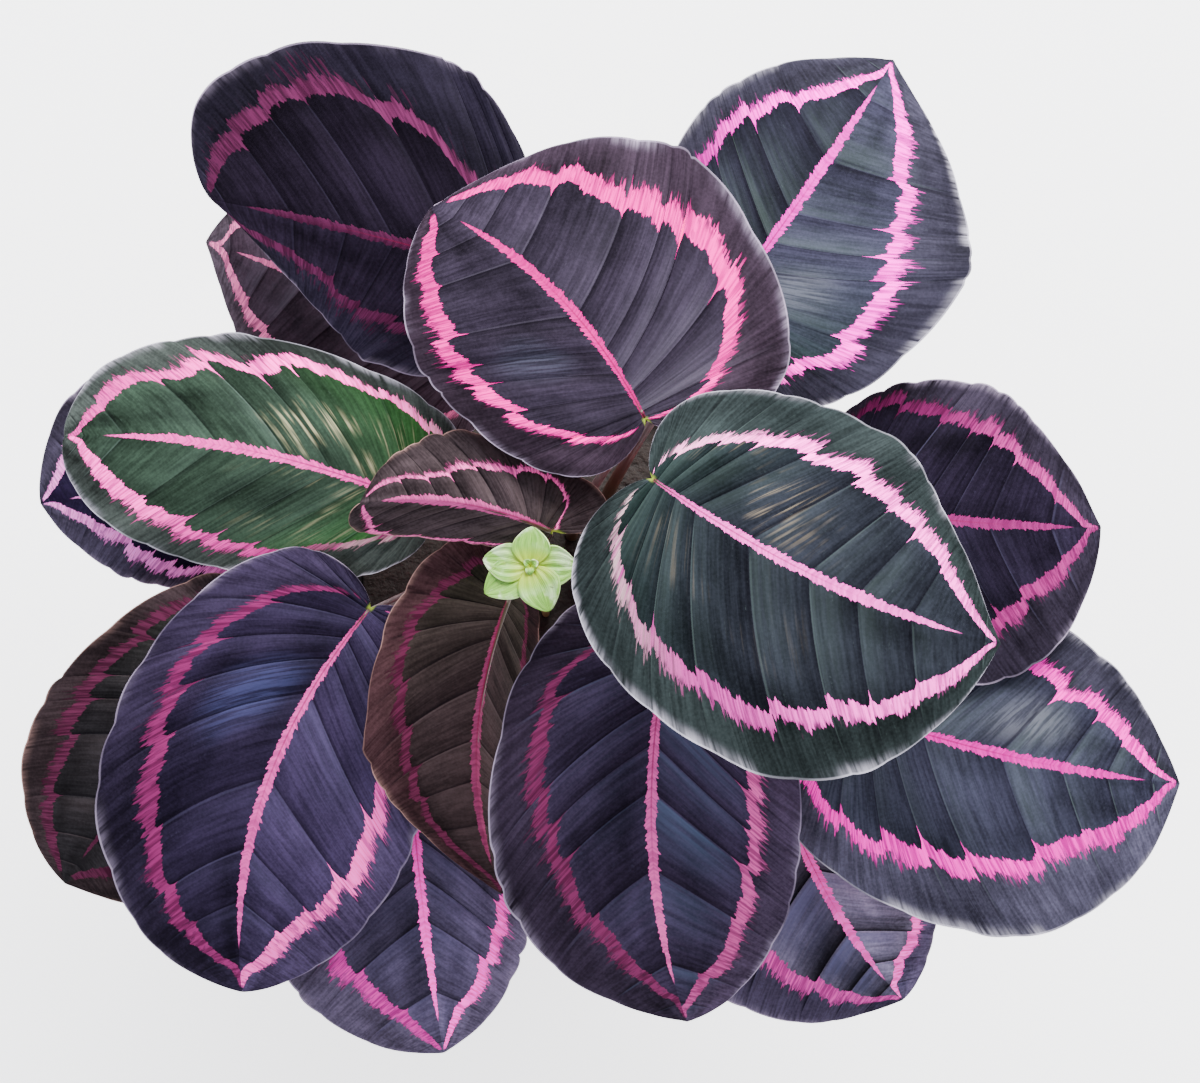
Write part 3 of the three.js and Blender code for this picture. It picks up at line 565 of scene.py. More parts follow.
         left=(20, 0.05, 0.2, -50, 0), right=(27, 0.36, -0.06, 0, 3),
         ring_left=[(0, 50), (30, 80), (50, 95), (66, 100), (80, 76), (90, 50), (97, 10), (100, 0)],
         ring_right=[(0, 0), (15, 6), (27, 15), (33, 45), (38, 66), (43, 70), (48, 58), (54, 52), (60, 54),
                     (68, 47), (75, 43), (82, 55), (90, 58), (96, 40), (100, 10)]),
]
for number, leaf in enumerate(LEAVES):
    leaf["seed"] = 11.3 * (number + 1)
    for half in ("ring_left", "ring_right"):
        leaf[half] = [(along / 100, across / 100) for along, across in leaf[half]]


def unit(vector):
    return vector / np.linalg.norm(vector, axis=-1, keepdims=True)


def leaf_frame(leaf):
    """The blade's length, left and up directions, and the midrib's four control points."""
    base = np.array(leaf["base"], float) * MM
    tip = np.array(leaf["tip"], float) * MM
    chord = tip - base
    along = unit(chord)
    left = unit(np.cross((0, 0, 1), along))
    normal = unit(np.cross(along, left))
    bow = normal * leaf["arch"] * MM * 4 / 3 + left * leaf["sway"] * MM * 4 / 3
    control = [base, base + chord / 3 + bow, base + chord * 2 / 3 + bow, tip]
    return np.linalg.norm(chord), left, normal, control


def rib_point(control, s):
    s = np.asarray(s, float)[..., None]
    a, b, c, d = control
    return a * (1 - s) ** 3 + 3 * b * s * (1 - s) ** 2 + 3 * c * s * s * (1 - s) + d * s ** 3


def rib_direction(control, s):
    s = np.asarray(s, float)[..., None]
    a, b, c, d = control
    return unit((b - a) * (1 - s) ** 2 + 2 * (c - b) * s * (1 - s) + (d - c) * s * s)


def blade_surface(leaf, u, side):
    """Points of the blade's middle surface for stations u and signed widths from -1 to 1."""
    length, left, normal, control = leaf_frame(leaf)
    v = np.abs(side)
    is_left = side > 0
    halves = [np.where(is_left, a, b) for a, b in zip(leaf["left"], leaf["right"])]
    width, back, fore, tilt, curl = halves
    width = width * MM
    tilt = np.radians(tilt)
    turn = np.pi * u
    lobe = np.sin(2 * turn)
    # A side vein leaves the midrib at vein_x, and meets the margin at margin_x and margin_y.
    margin_x = (1 - np.cos(turn)) / 2 + fore * np.maximum(0, -lobe)
    margin_x = margin_x - back * np.maximum(0, lobe) ** LOBE_SHARPNESS
    margin_y = width * np.sin(turn) * (1 - 0.5 * u ** TIP_TAPER)
    vein_x = (1 - np.cos(np.pi * u ** VEIN_LAG)) / 2
    bend_x = vein_x + VEIN_SWEEP * (margin_x - vein_x)
    x = (1 - v) ** 2 * vein_x + 2 * v * (1 - v) * bend_x + v * v * margin_x
    y = 2 * v * (1 - v) * VEIN_SPREAD * margin_y + v * v * margin_y
    s = np.clip(x, 0, 1)
    along = rib_direction(control, s)
    up = unit(np.cross(along, left))
    across = np.cross(up, along)
    cell = VEIN_PAIRS * u + VEIN_WANDER * np.sin(19 * u + leaf["seed"])
    fullness = np.random.default_rng(int(leaf["seed"])).uniform(0.45, 1.25, (2, VEIN_PAIRS + 2))
    fullness = fullness[is_left.astype(int), np.floor(cell).astype(int) + 1]
    pillow = 2 * fullness * np.abs(np.sin(np.pi * cell)) ** PLEAT_SHARPNESS - 1
    scallop = 1 + leaf["scallop"] * MM / width * pillow * v * v
    hand = np.where(is_left, 1.0, -1.0)
    wave = leaf["wave"] * MM * v ** 3 * np.sin(turn) * np.sin(8 * turn + leaf["phase"] + hand)
    pleat = leaf["pleat"] * MM * pillow * np.sin(turn)
    pleat = pleat * np.sin(np.pi * np.clip(v * 1.05, 0, 1)) ** 0.6
    groove = GROOVE_DEPTH * MM * np.exp(-(y / (GROOVE_WIDTH * MM)) ** 2) * (1 - u)
    lift = y * np.sin(tilt) - curl * MM * (y / width) ** 2 + wave + pleat - groove
    sideways = hand * y * np.cos(tilt) * scallop
    return (rib_point(control, s) + along * ((x - s) * length)[..., None]
            + across * sideways[..., None] + up * lift[..., None])


def only(piece):
    """Nothing selected or active but this piece."""
    bpy.ops.object.select_all(action="DESELECT")
    piece.select_set(True)
    bpy.context.view_layer.objects.active = piece


def edit_all(piece):
    only(piece)
    bpy.ops.object.mode_set(mode="EDIT")
    bpy.ops.mesh.select_all(action="SELECT")


def new_grid(name, columns, rows):
    """A flat grid with its map, one unit square about the origin, ready to be shaped."""
    bpy.ops.object.select_all(action="DESELECT")
    bpy.ops.mesh.primitive_grid_add(x_subdivisions=columns, y_subdivisions=rows, size=1)
    piece = bpy.context.object
    piece.name = name
    piece.data.name = name
    return piece


def grid_places(piece):
    """How far along and across a new grid each of its points lies, from 0 to 1."""
    count = len(piece.data.vertices)
    places = np.zeros(count * 3)
    piece.data.vertices.foreach_get("co", places)
    places = np.clip(places.reshape(count, 3) + 0.5, 0, 1)
    return places[:, 0], places[:, 1]


def shape(piece, points):
    piece.data.vertices.foreach_set("co", np.ascontiguousarray(points, dtype=float).ravel())
    piece.data.update()


def weld(piece, turn_outwards=False):
    """Seams and poles are closed, and the faces of a closed form may be turned outwards."""
    edit_all(piece)
    bpy.ops.mesh.remove_doubles(threshold=WELD_DISTANCE)
    if turn_outwards:
        bpy.ops.mesh.normals_make_consistent(inside=False)
    bpy.ops.object.mode_set(mode="OBJECT")


def thicken(piece, thickness, lower_finish=0):
    """A sheet gets its thickness, half of it on each side, with its own finish underneath."""
    only(piece)
    skin = piece.modifiers.new("thickness", "SOLIDIFY")
    skin.thickness = thickness * MM
    skin.offset = 0
    skin.material_offset = lower_finish
    bpy.ops.object.modifier_apply(modifier="thickness")


underside = underside_finish()
for leaf in LEAVES:
    piece = new_grid(leaf["name"] + "_leaf", STATIONS, STEPS_ACROSS)
    u, width = grid_places(piece)
    shape(piece, blade_surface(leaf, u, width * 2 - 1))
    weld(piece)
    piece.data.materials.append(blade_finish(leaf))
    piece.data.materials.append(underside)
    thicken(piece, BLADE_THICKNESS, lower_finish=1)
    bpy.ops.object.shade_smooth_by_angle(angle=math.radians(50))
    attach(piece, "root")
    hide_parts(leaf["name"] + "_blade")

# ---------------------------------------------------------------- leaf stalks and ribs
# Each blade stands on its own stalk of smooth dark red tissue. A sheath wraps the stalk's foot,
# and a swollen knee joins it to the blade, where it runs on as a raised rib under the midrib.

SOIL_TOP = 116
STALK_DEPTH = 14
STALK_RADIUS = 1.9
STALK_LOOPS = 70
STALK_SIDES = 14
SHEATH_SWELL = 1.7
SHEATH_END = 0.4
FURROW_DEPTH = 0.16
FURROW_WIDTH = 0.5
KNEE_SWELL = 0.4
KNEE_PLACE = 0.93
KNEE_LENGTH = 0.05
KNEE_RADII = (1.7, 1.5, 1.2)
KNEE_GAP = 0.75
KNEE_START = 0.3
KNEE_INSET = 0.4
JOIN_PLACE = 0.02
CAD_BLADE_THICKNESS = 1.1
RIB_LOOPS = 40
RIB_START = 0.004
RIB_END = 0.93
RIB_START_RADIUS = 1.25
RIB_END_RADIUS = 0.25
STALK_DEEP = (44, 5, 14)
STALK_RED = (92, 18, 32)
SHEATH_OLIVE = (62, 56, 28)
STALK_BLOTCH = (112, 62, 60)


def curve_point(control, s):
    return rib_point([np.array(point, float) for point in control], s)


def root_point(root, height):
    angle = math.radians(root[0])
    return np.array([math.cos(angle) * root[1], math.sin(angle) * root[1], height]) * MM


def stalk_control(leaf):
    """The stalk leaves the soil leaning outward and ends square to the blade's underside."""
    _, left, _, control = leaf_frame(leaf)
    direction = rib_direction(control, JOIN_PLACE)
    up = unit(np.cross(direction, left))
    lowest_tilt = min(leaf["left"][3], leaf["right"][3])
    drop = CAD_BLADE_THICKNESS / 2 + KNEE_GAP + STALK_RADIUS * math.tan(math.radians(-lowest_tilt))
    top = rib_point(control, JOIN_PLACE) - up * drop * MM
    foot = root_point(leaf["root"], SOIL_TOP - STALK_DEPTH)
    height = top[2] - foot[2]
    rise = np.array([0, 0, 0.55 * height])
    return [foot, foot + rise, top - up * height * 0.35, top], up


def tube(name, path, radii, squeeze=None):
    """A closed rod round a path. A grid's first way runs along it, and its second way round it."""
    direction = unit(np.gradient(path, axis=0))
    direction = np.vstack([direction[:1], direction, direction[-1:]])
    path = np.vstack([path[:1], path, path[-1:]])
    radii = np.concatenate([[0], radii, [0]])
    loops = len(path)
    piece = new_grid(name, loops - 1, STALK_SIDES)
    along, around = grid_places(piece)
    index = np.rint(along * (loops - 1)).astype(int)
    turn = around * 2 * np.pi
    across = unit(np.cross(direction[0], (0.3, 0.9, 0.1)))
    rings = []
    for step in direction:
        across = unit(across - step * np.dot(across, step))
        rings.append((across, np.cross(step, across)))
    first = np.array([ring[0] for ring in rings])[index]
    second = np.array([ring[1] for ring in rings])[index]
    radius = radii[index]
    if squeeze is not None:
        radius = radius * squeeze(index / (loops - 1), turn)
    spoke = first * np.cos(turn)[:, None] + second * np.sin(turn)[:, None]
    shape(piece, path[index] + spoke * radius[:, None])
    weld(piece, turn_outwards=True)
    bpy.ops.object.shade_smooth()
    return piece


def stalk_finish():
    """Dark red skin, greener low down in the sheath, finely ribbed lengthwise."""
    finish, shader, place, chart = new_finish("stalk_skin")
    along, turn = split(chart)
    ribs = speckle((along, turn), 6, 16, 0.0, 3.0)
    blotch = noise(place, 60.0)
    tone = (ribs * 0.7 + blotch * 0.8 - 0.3).clamp()
    skin = tone.blend(paint(STALK_DEEP), paint(STALK_RED))
    low = (1 - along.step(0.02, 0.42)) * 0.8
    skin = (low * (ribs + 0.3)).clamp().blend(skin, paint(SHEATH_OLIVE))
    skin = (blotch.step(0.6, 0.7) * 0.3).blend(skin, paint(STALK_BLOTCH))
    join(skin, shader, "Base Color")
    join(0.38 + (ribs - 0.5) * 0.25, shader, "Roughness")
    join(raised(ribs, 0.5, 0.0005), shader, "Normal")
    return finish


def sheath(s, turn):
    """The sheath's open edge: a furrow along one side, which fades out upwards."""
    return 1 - FURROW_DEPTH * np.exp(-((turn - np.pi) / FURROW_WIDTH) ** 2) * (1 - s)


stalk_skin = stalk_finish()
for leaf in LEAVES:
    control, up = stalk_control(leaf)
    s = np.linspace(0, 1, STALK_LOOPS)
    path = curve_point(control, s)
    radii = STALK_RADIUS + SHEATH_SWELL * np.maximum(0, 1 - s / SHEATH_END)
    radii = radii + KNEE_SWELL * np.exp(-(((s - KNEE_PLACE) / KNEE_LENGTH) ** 2))
    knee = np.linspace(KNEE_START, KNEE_GAP + KNEE_INSET, len(KNEE_RADII))[:, None] * MM
    path = np.vstack([path, path[-1] + up * knee])
    radii = np.concatenate([radii, KNEE_RADII]) * MM
    stalk = tube(leaf["name"] + "_petiole", path, radii, sheath)
    stalk.data.materials.append(stalk_skin)
    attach(stalk, "root")
    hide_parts(leaf["name"] + "_stalk")

    s = np.linspace(RIB_START, RIB_END, RIB_LOOPS)
    _, left, _, control = leaf_frame(leaf)
    direction = rib_direction(control, s)
    up = unit(np.cross(direction, left))
    rib_radii = RIB_START_RADIUS + (RIB_END_RADIUS - RIB_START_RADIUS) * s
    path = rib_point(control, s) - up * (rib_radii * 0.55 + GROOVE_DEPTH * 0.9)[:, None] * MM
    rib = tube(leaf["name"] + "_rib", path, rib_radii * MM)
    rib.data.materials.append(stalk_skin)
    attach(rib, "root")

# ---------------------------------------------------------------- flower spike
# One slim green stalk carries a rosette of five broad pointed bracts of soft pale green
# tissue, cupped and finely veined, round a tight heart of small folded ones.

FLOWER_CENTRE = (-6, -20, 303)
FLOWER_ROOT = (-100, 24)
FLOWER_STALK_RADIUS = 1.7
FLOWER_STALK_LOOPS = 40
BRACT_THICKNESS = 0.5
BRACT_COLUMNS = 34
BRACT_ROWS = 22
BRACT_RISE = 3.6
BRACT_BEND = 3.0
BRACT_FOLD = 0.25
BRACT_KEEL = 0.9
BRACT_GREEN = (70, 130, 24)
BRACT_LIME = (156, 204, 84)
BRACT_YELLOW = (166, 188, 20)
BRACT_SHEEN = (232, 246, 220)
BRACT_EDGE = (216, 232, 176)
SPIKE_GREEN = (84, 104, 46)
SPIKE_LIME = (150, 164, 84)
SPIKE_FOOT = (108, 40, 40)
# Each bract: its direction in degrees, its length, its half width, its lift and its turned-up edge.
BRACTS = [(88, 14.8, 7.2, 1.3, 0.9), (-1, 18.0, 8.0, 0.6, 0.8), (-67, 18.5, 8.2, 1.1, 0.9),
          (-149, 20.0, 8.0, 0.3, 0.9), (172, 18.0, 7.4, 0.9, 0.8)]
HEART = [(30, 3.2, 1.6, 1.5, 0.6), (140, 3.0, 1.5, 1.6, 0.6), (-95, 3.4, 1.6, 1.4, 0.6)]


def bract_surface(bract, along, across):
    """A pointed spoon: narrow at the heart, broadest past the middle, cupped across."""
    angle, length, half_width, lift, cup = bract
    width = half_width * np.sin(np.pi * along ** 1.15) ** 0.62 * (1 - 0.25 * along ** 6)
    bend = np.abs(across) ** 2.2
    x = length * (along - 0.10 * np.abs(across) ** 3 * np.sin(np.pi * along))
    y = width * across
    fold = BRACT_FOLD * np.sin(across * 16 + angle) * np.sin(np.pi * along)
    keel = BRACT_KEEL * np.exp(-(across / 0.12) ** 2) * (1 - along)
    z = lift + BRACT_RISE * along - BRACT_BEND * along ** 2.2
    z = z + cup * bend * np.sin(np.pi * along ** 2) + fold - keel
    cosine = math.cos(math.radians(angle))
    sine = math.sin(math.radians(angle))
    return np.stack([x * cosine - y * sine, x * sine + y * cosine, z], axis=-1)


def bract_finish():
    """Pale lime tissue, yellower at the heart, with fine parallel veins and a painted white sheen."""
    finish, shader, place, chart = new_finish("bract_tissue")
    along, across = split(chart)
    veins = speckle((along, across), 2.5, 46, 1.0)
    cloud = noise(place, 150.0)
    tone = (veins * 1.7 + cloud * 0.6 - 0.65).clamp()
    tissue = tone.blend(paint(BRACT_GREEN), paint(BRACT_LIME))
    tissue = ((1 - along.step(0.15, 0.55)) * 0.85).blend(tissue, paint(BRACT_YELLOW))
    # Painted highlight: cloudy white towards the outer ends stands in for sheen off the bracts.
    bract_sheen = along.step(0.35, 0.9) * cloud.step(0.48, 0.62) * (veins * 0.8 + 0.2) * 0.8
    tissue = bract_sheen.blend(tissue, paint(BRACT_SHEEN))
    edge = (across * 2 - 1).maths("ABSOLUTE")
    rim = edge.step(0.95, 1.0) * along.step(0.45, 0.7) * 0.5
    tissue = rim.blend(tissue, paint(BRACT_EDGE))
    join(tissue, shader, "Base Color")
    join(0.42 + (veins - 0.5) * 0.3, shader, "Roughness")
    shader.inputs["Subsurface Weight"].default_value = 0.25
    shader.inputs["Subsurface Radius"].default_value = (0.5, 1.0, 0.3)
    shader.inputs["Subsurface Scale"].default_value = 0.001
    join(raised(veins, 0.6, 0.0004), shader, "Normal")
    return finish


def join_pieces(pieces, name):
    """All these pieces become one, in the place of the first of them."""
    bpy.ops.object.select_all(action="DESELECT")
    for piece in pieces:
        piece.select_set(True)
    bpy.context.view_layer.objects.active = pieces[0]
    bpy.ops.object.join()
    pieces[0].name = name
    return pieces[0]


bract_tissue = bract_finish()
bracts = []
for number, bract in enumerate(BRACTS + HEART):
    piece = new_grid("bract_%d" % number, BRACT_COLUMNS, BRACT_ROWS)
    along, across = grid_places(piece)
    points = bract_surface(bract, along, across * 2 - 1) + np.array(FLOWER_CENTRE)
    shape(piece, points * MM)
    weld(piece)
    thicken(piece, BRACT_THICKNESS)
    piece.data.materials.append(bract_tissue)
    bracts.append(piece)
rosette = join_pieces(bracts, "flower_rosette")
bpy.ops.object.shade_smooth()
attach(rosette, "root")
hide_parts("flower_bracts")

foot = root_point(FLOWER_ROOT, SOIL_TOP - STALK_DEPTH)
top = (np.array(FLOWER_CENTRE) + (0, 0, 0.6)) * MM
height = top[2] - foot[2]
s = np.linspace(0, 1, FLOWER_STALK_LOOPS)
path = curve_point([foot, foot + (0, 0, 0.5 * height), top - (0, 0, 0.3 * height), top], s)
swell = 1 + 0.15 * np.exp(-((s - 0.97) / 0.03) ** 2)
spike = tube("flower_spike", path, swell * FLOWER_STALK_RADIUS * MM)

spike_skin, shader, _, chart = new_finish("spike_skin")
along, turn = split(chart)
ribs = speckle((along, turn), 5, 18, 4.0, 3.0)
skin = ribs.blend(paint(SPIKE_GREEN), paint(SPIKE_LIME))
skin = ((1 - along.step(0.1, 0.7)) * 0.7).blend(skin, paint(SPIKE_FOOT))
join(skin, shader, "Base Color")
join(0.45 + (ribs - 0.5) * 0.2, shader, "Roughness")
join(raised(ribs, 0.5, 0.0004), shader, "Normal")
spike.data.materials.append(spike_skin)
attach(spike, "root")
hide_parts("flower_stalk")

# ---------------------------------------------------------------- dry husk
# A dead leaf sheath, thin as paper and rolled up round nothing, stands in the soil beside
# the flower spike. Its top is torn and its skin is dry, striped and pinkish brown.

HUSK_ROOT = (-62, 27)
HUSK_TOP = (6, -45, 262)
HUSK_THICKNESS = 0.35
HUSK_TURNS = 1.2
HUSK_FOOT_RADIUS = 1.5
HUSK_BELLY = 2.4
HUSK_COLUMNS = 60
HUSK_ROWS = 40
TEAR_START = 0.9
HUSK_BROWN = (118, 72, 66)
HUSK_PINK = (176, 128, 116)
HUSK_STAIN = (70, 38, 34)

husk = new_grid("rolled_husk", HUSK_COLUMNS, HUSK_ROWS)
along, around = grid_places(husk)
foot = root_point(HUSK_ROOT, SOIL_TOP - STALK_DEPTH)
top = np.array(HUSK_TOP) * MM
rise = np.array([0, 0, 0.4 * (top[2] - foot[2])])
torn = 1 - 0.05 * np.abs(np.sin(around * 11)) - 0.03 * np.abs(np.sin(around * 29 + 1))
torn = np.where(along > TEAR_START, torn, 1)
centre = curve_point([foot, foot + rise, top - rise * 0.6, top], along * torn)
radius = HUSK_FOOT_RADIUS + HUSK_BELLY * np.sin(np.pi * np.minimum(1, along * 0.95)) - 0.5 * along
radius = radius * (1 - 0.22 * around) + 0.18 * np.sin(around * 40) * along
turn = around * 2 * np.pi * HUSK_TURNS + 2.2 + 0.6 * along
spoke = np.stack([np.cos(turn), np.sin(turn), 0 * turn], axis=-1)
shape(husk, centre + spoke * radius[:, None] * MM)
thicken(husk, HUSK_THICKNESS)
edit_all(husk)
bpy.ops.mesh.normals_make_consistent(inside=False)
bpy.ops.object.mode_set(mode="OBJECT")
bpy.ops.object.shade_smooth()

husk_paper, shader, place, chart = new_finish("husk_paper")
along, around = split(chart)
fibres = speckle((along, around), 8, 60, 2.0, 3.0)
stain = noise(place, 180.0, 4.0)
paper = fibres.step(0.3, 0.7).blend(paint(HUSK_BROWN), paint(HUSK_PINK))
paper = (stain.step(0.55, 0.66) * 0.8).blend(paper, paint(HUSK_STAIN))
join(paper, shader, "Base Color")
join(0.72 + (fibres - 0.5) * 0.3, shader, "Roughness")
join(raised(fibres, 0.7, 0.0005), shader, "Normal")
husk.data.materials.append(husk_paper)
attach(husk, "root")
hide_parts("dry_husk")

# ---------------------------------------------------------------- soil
# Dark potting soil fills the pot to a little under its rim and is heaped round the stalks. Its
# top is lumpy, with a crumb, a pale grain of perlite and a fine dust of both.

SOIL_RADIUS = 87.1
SOIL_FLOOR = 8
SOIL_FLOOR_RADIUS = 68.0
SOIL_HEAP = 4
# Soil and crumbs are near black: partly the dark of wet peat, partly painted shade for the shadow
# that lies under the leaves.
LOAM = [(14, 9, 7), (40, 28, 21)]
CRUMB = [(16, 10, 8), (54, 38, 27)]
PERLITE = [(120, 115, 105), (190, 186, 176)]
SOIL_COLUMNS = 90
SOIL_ROWS = 120
TOP_END = 0.8
SIDE_END = 0.9
SCATTER_RADIUS = 84
CRUMBS = 620
GRAINS = 70

random.seed(7)
# The grid's first way runs from the middle of the top out to the rim, down the side, and in
# again along the floor. Its second way runs round.
soil = new_grid("potting_soil", SOIL_COLUMNS, SOIL_ROWS)
out, around = grid_places(soil)
turn = around * 2 * np.pi
on_top = np.clip(out / TOP_END, 0, 1)
down = np.clip((out - TOP_END) / (SIDE_END - TOP_END), 0, 1)
under = np.clip((out - SIDE_END) / (1 - SIDE_END), 0, 1)
side_radius = SOIL_RADIUS + (SOIL_FLOOR_RADIUS - SOIL_RADIUS) * down
radius = np.where(out <= TOP_END, SOIL_RADIUS * on_top, side_radius)
radius = np.where(out > SIDE_END, SOIL_FLOOR_RADIUS * (1 - under), radius)
lump = (np.sin(radius * 0.31 + 2 * np.sin(turn * 3)) * np.cos(turn * 5 + radius * 0.12)
        + 0.6 * np.sin(radius * 0.9 + turn * 9) * np.cos(turn * 13 - radius * 0.5)
        + 0.4 * np.sin(radius * 1.9 + turn * 21))
height = SOIL_TOP + SOIL_HEAP * np.cos(np.pi / 2 * on_top)
height = height + 0.5 * lump * np.sin(np.pi * on_top ** 0.6)
height = np.where(out > TOP_END, SOIL_TOP + (SOIL_FLOOR - SOIL_TOP) * down, height)
shape(soil, np.stack([radius * np.cos(turn), radius * np.sin(turn), height], axis=-1) * MM)
weld(soil, turn_outwards=True)
bpy.ops.object.shade_smooth()


def loam_finish(name, dark, light):
    """Crumbly matt earth between a dark and a light tone."""
    finish, shader, place, _ = new_finish(name)
    grain = noise(place, 420.0, 6.0)
    clod = noise(place, 90.0, 4.0)
    earth = (grain * 0.8 + clod * 0.8 - 0.35).clamp().blend(paint(dark), paint(light))
    join(earth, shader, "Base Color")
    join(0.85 + (grain - 0.5) * 0.2, shader, "Roughness")
    join(raised(grain + clod * 2, 0.8, 0.0015), shader, "Normal")
    return finish


soil.data.materials.append(loam_finish("loam", *LOAM))
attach(soil, "root")
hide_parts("soil")


def scatter(name, count, smallest, largest, flatness, finish):
    """A rough lump pressed into the soil's top, and a dust of specks round it. A speck starts
    from the first lump as it lies in the pot, so it comes out a few hundredths of a mm wide."""
    lumps = []
    for number in range(count):
        far = math.sqrt(random.random()) * SCATTER_RADIUS
        turn = random.uniform(0, 2 * math.pi)
        size = random.uniform(smallest, largest)
        height = SOIL_TOP + SOIL_HEAP * math.cos(math.pi / 2 * far / SOIL_RADIUS) + size * 0.2
        where = (far * math.cos(turn) * MM, far * math.sin(turn) * MM, height * MM)
        if number == 0:
            bpy.ops.object.select_all(action="DESELECT")
            bpy.ops.mesh.primitive_ico_sphere_add(subdivisions=1, radius=MM)
            lump = bpy.context.object
        else:
            lump = bpy.data.objects.new(name, lumps[0].data.copy())
            bpy.context.collection.objects.link(lump)
        turned = Vector((random.uniform(0, 3), random.uniform(0, 3), random.uniform(0, 3)))
        matrix = turned.to_track_quat("Z", "Y").to_matrix()
        for point in lump.data.vertices:
            place = point.co.normalized()
            rough = math.sin(place.x * 5 + number) * math.cos(place.y * 4 + number * 2)
            place = place * (1 + 0.25 * rough) * size * MM
            place = matrix @ Vector((place.x, place.y * 0.8, place.z))
            point.co = (place.x + where[0], place.y + where[1], place.z * flatness + where[2])
        lumps.append(lump)
    layer = join_pieces(lumps, name)
    layer.data.materials.append(finish)
    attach(layer, "root")


scatter("soil_crumbs", CRUMBS, 0.9, 2.6, 0.7, loam_finish("crumb", *CRUMB))
scatter("perlite_grains", GRAINS, 0.8, 1.6, 0.8, loam_finish("perlite", *PERLITE))

# ---------------------------------------------------------------- pot
# A plain growing pot of dark matt plastic, moulded in one piece: thin tapered wall, a stepped
# rim to lift it by, and six drain holes in its floor.

POT_HEIGHT = 130
POT_RIM_RADIUS = 95
POT_BASE_RADIUS = 70
POT_WALL = 2.4
POT_FLOOR = 3.0
POT_SIDES = 96
RIM_HEIGHT = 14
RIM_STEP = 2.6
FOOT_HEIGHT = 2.5
FOOT_STEP = 0.4
EDGE_RADIUS = 0.5
DRAIN_HOLES = 6
DRAIN_RADIUS = 2.4
DRAIN_RING = 52
PLASTIC_DEEP = (9, 9, 10)
PLASTIC_GREY = (20, 20, 21)
POT_DUST = (54, 48, 40)


def wall_radius(height):
    return POT_BASE_RADIUS + (POT_RIM_RADIUS - RIM_STEP - POT_BASE_RADIUS) * height / POT_HEIGHT


rim_foot = POT_HEIGHT - RIM_HEIGHT
outline = [(POT_BASE_RADIUS, 0), (wall_radius(FOOT_HEIGHT) + FOOT_STEP, FOOT_HEIGHT),
           (wall_radius(rim_foot), rim_foot),
           (POT_RIM_RADIUS - 0.6, rim_foot + 0.6), (POT_RIM_RADIUS, POT_HEIGHT - 1),
           (POT_RIM_RADIUS - 1, POT_HEIGHT), (wall_radius(POT_HEIGHT) - POT_WALL, POT_HEIGHT),
           (wall_radius(POT_FLOOR) - POT_WALL, POT_FLOOR)]
bpy.ops.object.select_all(action="DESELECT")
bpy.ops.mesh.primitive_circle_add(vertices=POT_SIDES, radius=POT_BASE_RADIUS * MM, fill_type="NGON")
pot = bpy.context.object
pot.name = "growing_pot"
edit_all(pot)
for (radius, height), (next_radius, next_height) in zip(outline, outline[1:]):
    rise = (0, 0, (next_height - height) * MM)
    bpy.ops.mesh.extrude_region_move(TRANSFORM_OT_translate={"value": rise})
    ratio = next_radius / radius
    bpy.ops.transform.resize(value=(ratio, ratio, 1), center_override=(0, 0, next_height * MM))
bpy.ops.mesh.select_all(action="SELECT")
bpy.ops.mesh.normals_make_consistent(inside=False)
bpy.ops.object.mode_set(mode="OBJECT")
cutters = []
for number in range(DRAIN_HOLES):
    angle = (number + 0.5) * 2 * math.pi / DRAIN_HOLES
    place = (DRAIN_RING * math.cos(angle) * MM, DRAIN_RING * math.sin(angle) * MM, 0)
    bpy.ops.mesh.primitive_cylinder_add(vertices=32, radius=DRAIN_RADIUS * MM, depth=20 * MM,
                                        location=place)
    cutters.append(bpy.context.object)
drill = join_pieces(cutters, "drill")
only(pot)
holes = pot.modifiers.new("drains", "BOOLEAN")
holes.object = drill
holes.operation = "DIFFERENCE"
bpy.ops.object.modifier_apply(modifier="drains")
bpy.data.objects.remove(drill)
rounding = pot.modifiers.new("moulded_edges", "BEVEL")
rounding.width = EDGE_RADIUS * MM
rounding.segments = 3
rounding.limit_method = "ANGLE"
rounding.angle_limit = math.radians(25)
bpy.ops.object.modifier_apply(modifier="moulded_edges")
bpy.ops.object.shade_smooth_by_angle(angle=math.radians(30))

pot_plastic, shader, place, _ = new_finish("pot_plastic")
grain = noise(place, 900.0, 2.0)
cloud = noise(place, 25.0, 4.0)
height = place.node("ShaderNodeSeparateXYZ", None, {0: place}, 2)
plastic = (cloud * 0.8 + grain * 0.3).clamp().blend(paint(PLASTIC_DEEP), paint(PLASTIC_GREY))
rim_dust = cloud.step(0.5, 0.68) * height.step(0.09, 0.13) * 0.35
foot_dust = cloud.step(0.52, 0.7) * (1 - height.step(0.0, 0.03)) * 0.4
plastic = (rim_dust + foot_dust).clamp().blend(plastic, paint(POT_DUST))
join(plastic, shader, "Base Color")
join(0.52 + (cloud - 0.5) * 0.25 + (grain - 0.5) * 0.1, shader, "Roughness")
join(raised(grain, 0.25, 0.0003), shader, "Normal")
pot.data.materials.append(pot_plastic)
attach(pot, "root")
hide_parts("pot")

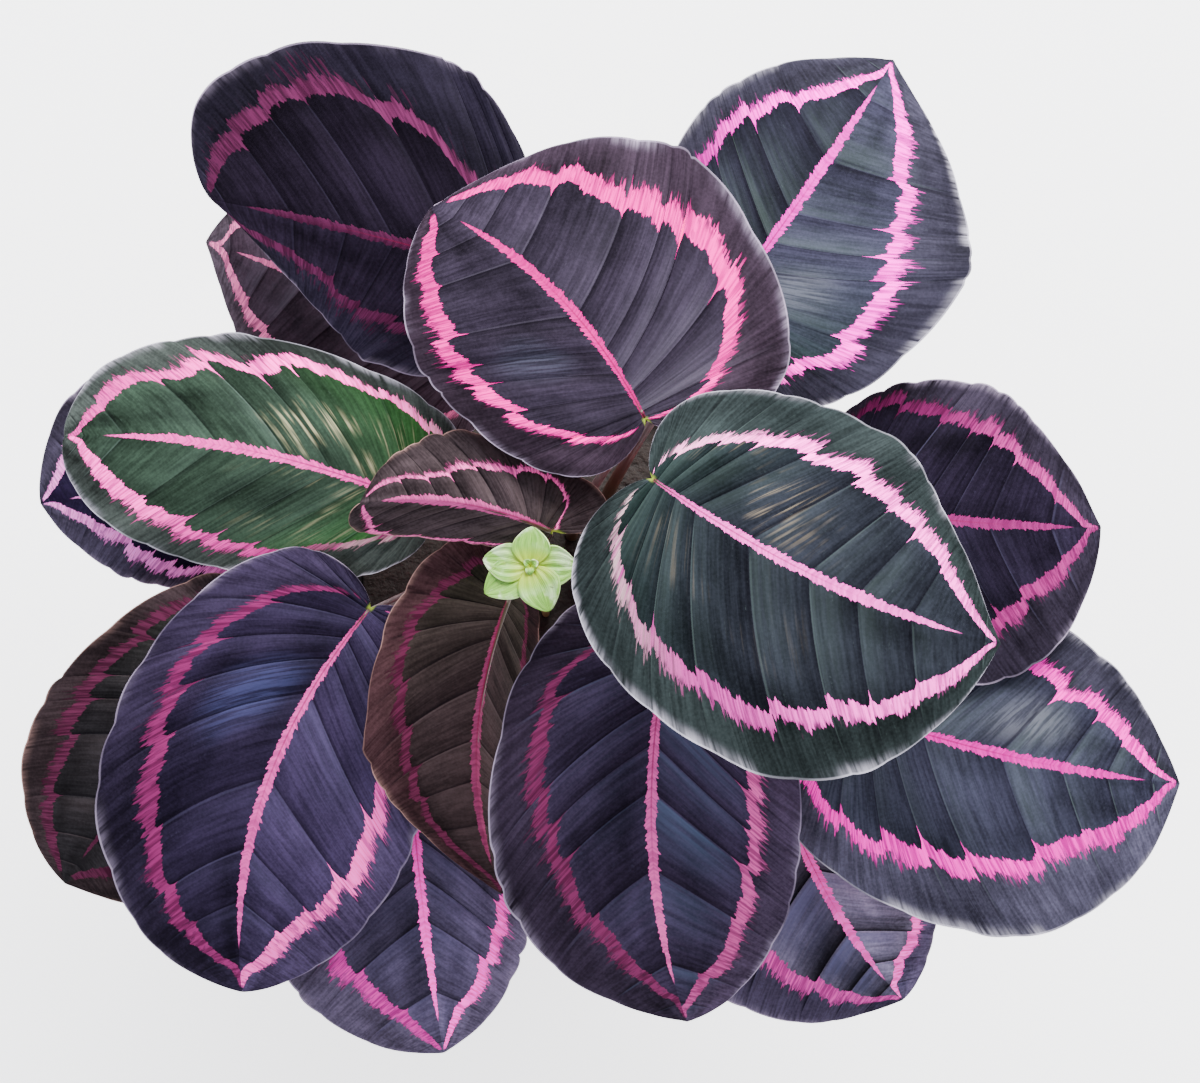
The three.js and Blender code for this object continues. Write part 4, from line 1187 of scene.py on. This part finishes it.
# ---------------------------------------------------------------- camera, lights and floor
# The floor is plain and pale. The light is a plain soft studio light from above and the back.

AIM = Vector((0.020, -0.004, 0.240))
ELEVATION = math.radians(84)
DISTANCE = 1.0
FOCAL = 75
SENSOR = 36

bpy.ops.object.camera_add()
camera = bpy.context.object
camera.location = AIM + DISTANCE * Vector((0, -math.cos(ELEVATION), math.sin(ELEVATION)))
camera.rotation_euler = (math.pi / 2 - ELEVATION, 0, 0)
camera.data.lens = FOCAL
camera.data.sensor_width = SENSOR
bpy.context.scene.camera = camera

bpy.ops.object.select_all(action="DESELECT")
bpy.ops.mesh.primitive_plane_add(size=40)
floor = bpy.context.object
floor.name = "floor"
paper, shader, _, _ = new_finish("floor_paper")
shader.inputs["Base Color"].default_value = (0.9, 0.9, 0.9, 1)
shader.inputs["Roughness"].default_value = 0.9
shader.inputs["Emission Color"].default_value = (1, 1, 1, 1)
shader.inputs["Emission Strength"].default_value = 2.0
floor.data.materials.append(paper)

world = bpy.data.worlds.new("studio")
bpy.context.scene.world = world
world.use_nodes = True
sky = world.node_tree
height = Wire(sky, sky.nodes.new("ShaderNodeTexCoord").outputs["Generated"])
height = height.node("ShaderNodeSeparateXYZ", None, {0: height}, 2)
glow = (1 - height.step(0.15, 0.5)).blend((1.05, 1.1, 1.25, 1), (0.9, 0.9, 0.94, 1))
sky.links.new(glow.socket, sky.nodes["Background"].inputs["Color"])


def soft_light(name, place, target, size, power):
    """A large soft panel of light, turned towards its target."""
    lamp = bpy.data.lights.new(name, "AREA")
    lamp.shape = "RECTANGLE"
    lamp.size = size[0]
    lamp.size_y = size[1]
    lamp.energy = power
    holder = bpy.data.objects.new(name, lamp)
    holder.location = place
    holder.rotation_euler = (Vector(target) - Vector(place)).to_track_quat("-Z", "Y").to_euler()
    bpy.context.collection.objects.link(holder)


soft_light("window", (0.6, 1.85, 1.6), (0.02, 0, 0.25), (2.6, 1.2), 250)
soft_light("bounce", (-1.6, -2.2, 0.5), (0, 0, 0.1), (1.2, 0.7), 8)
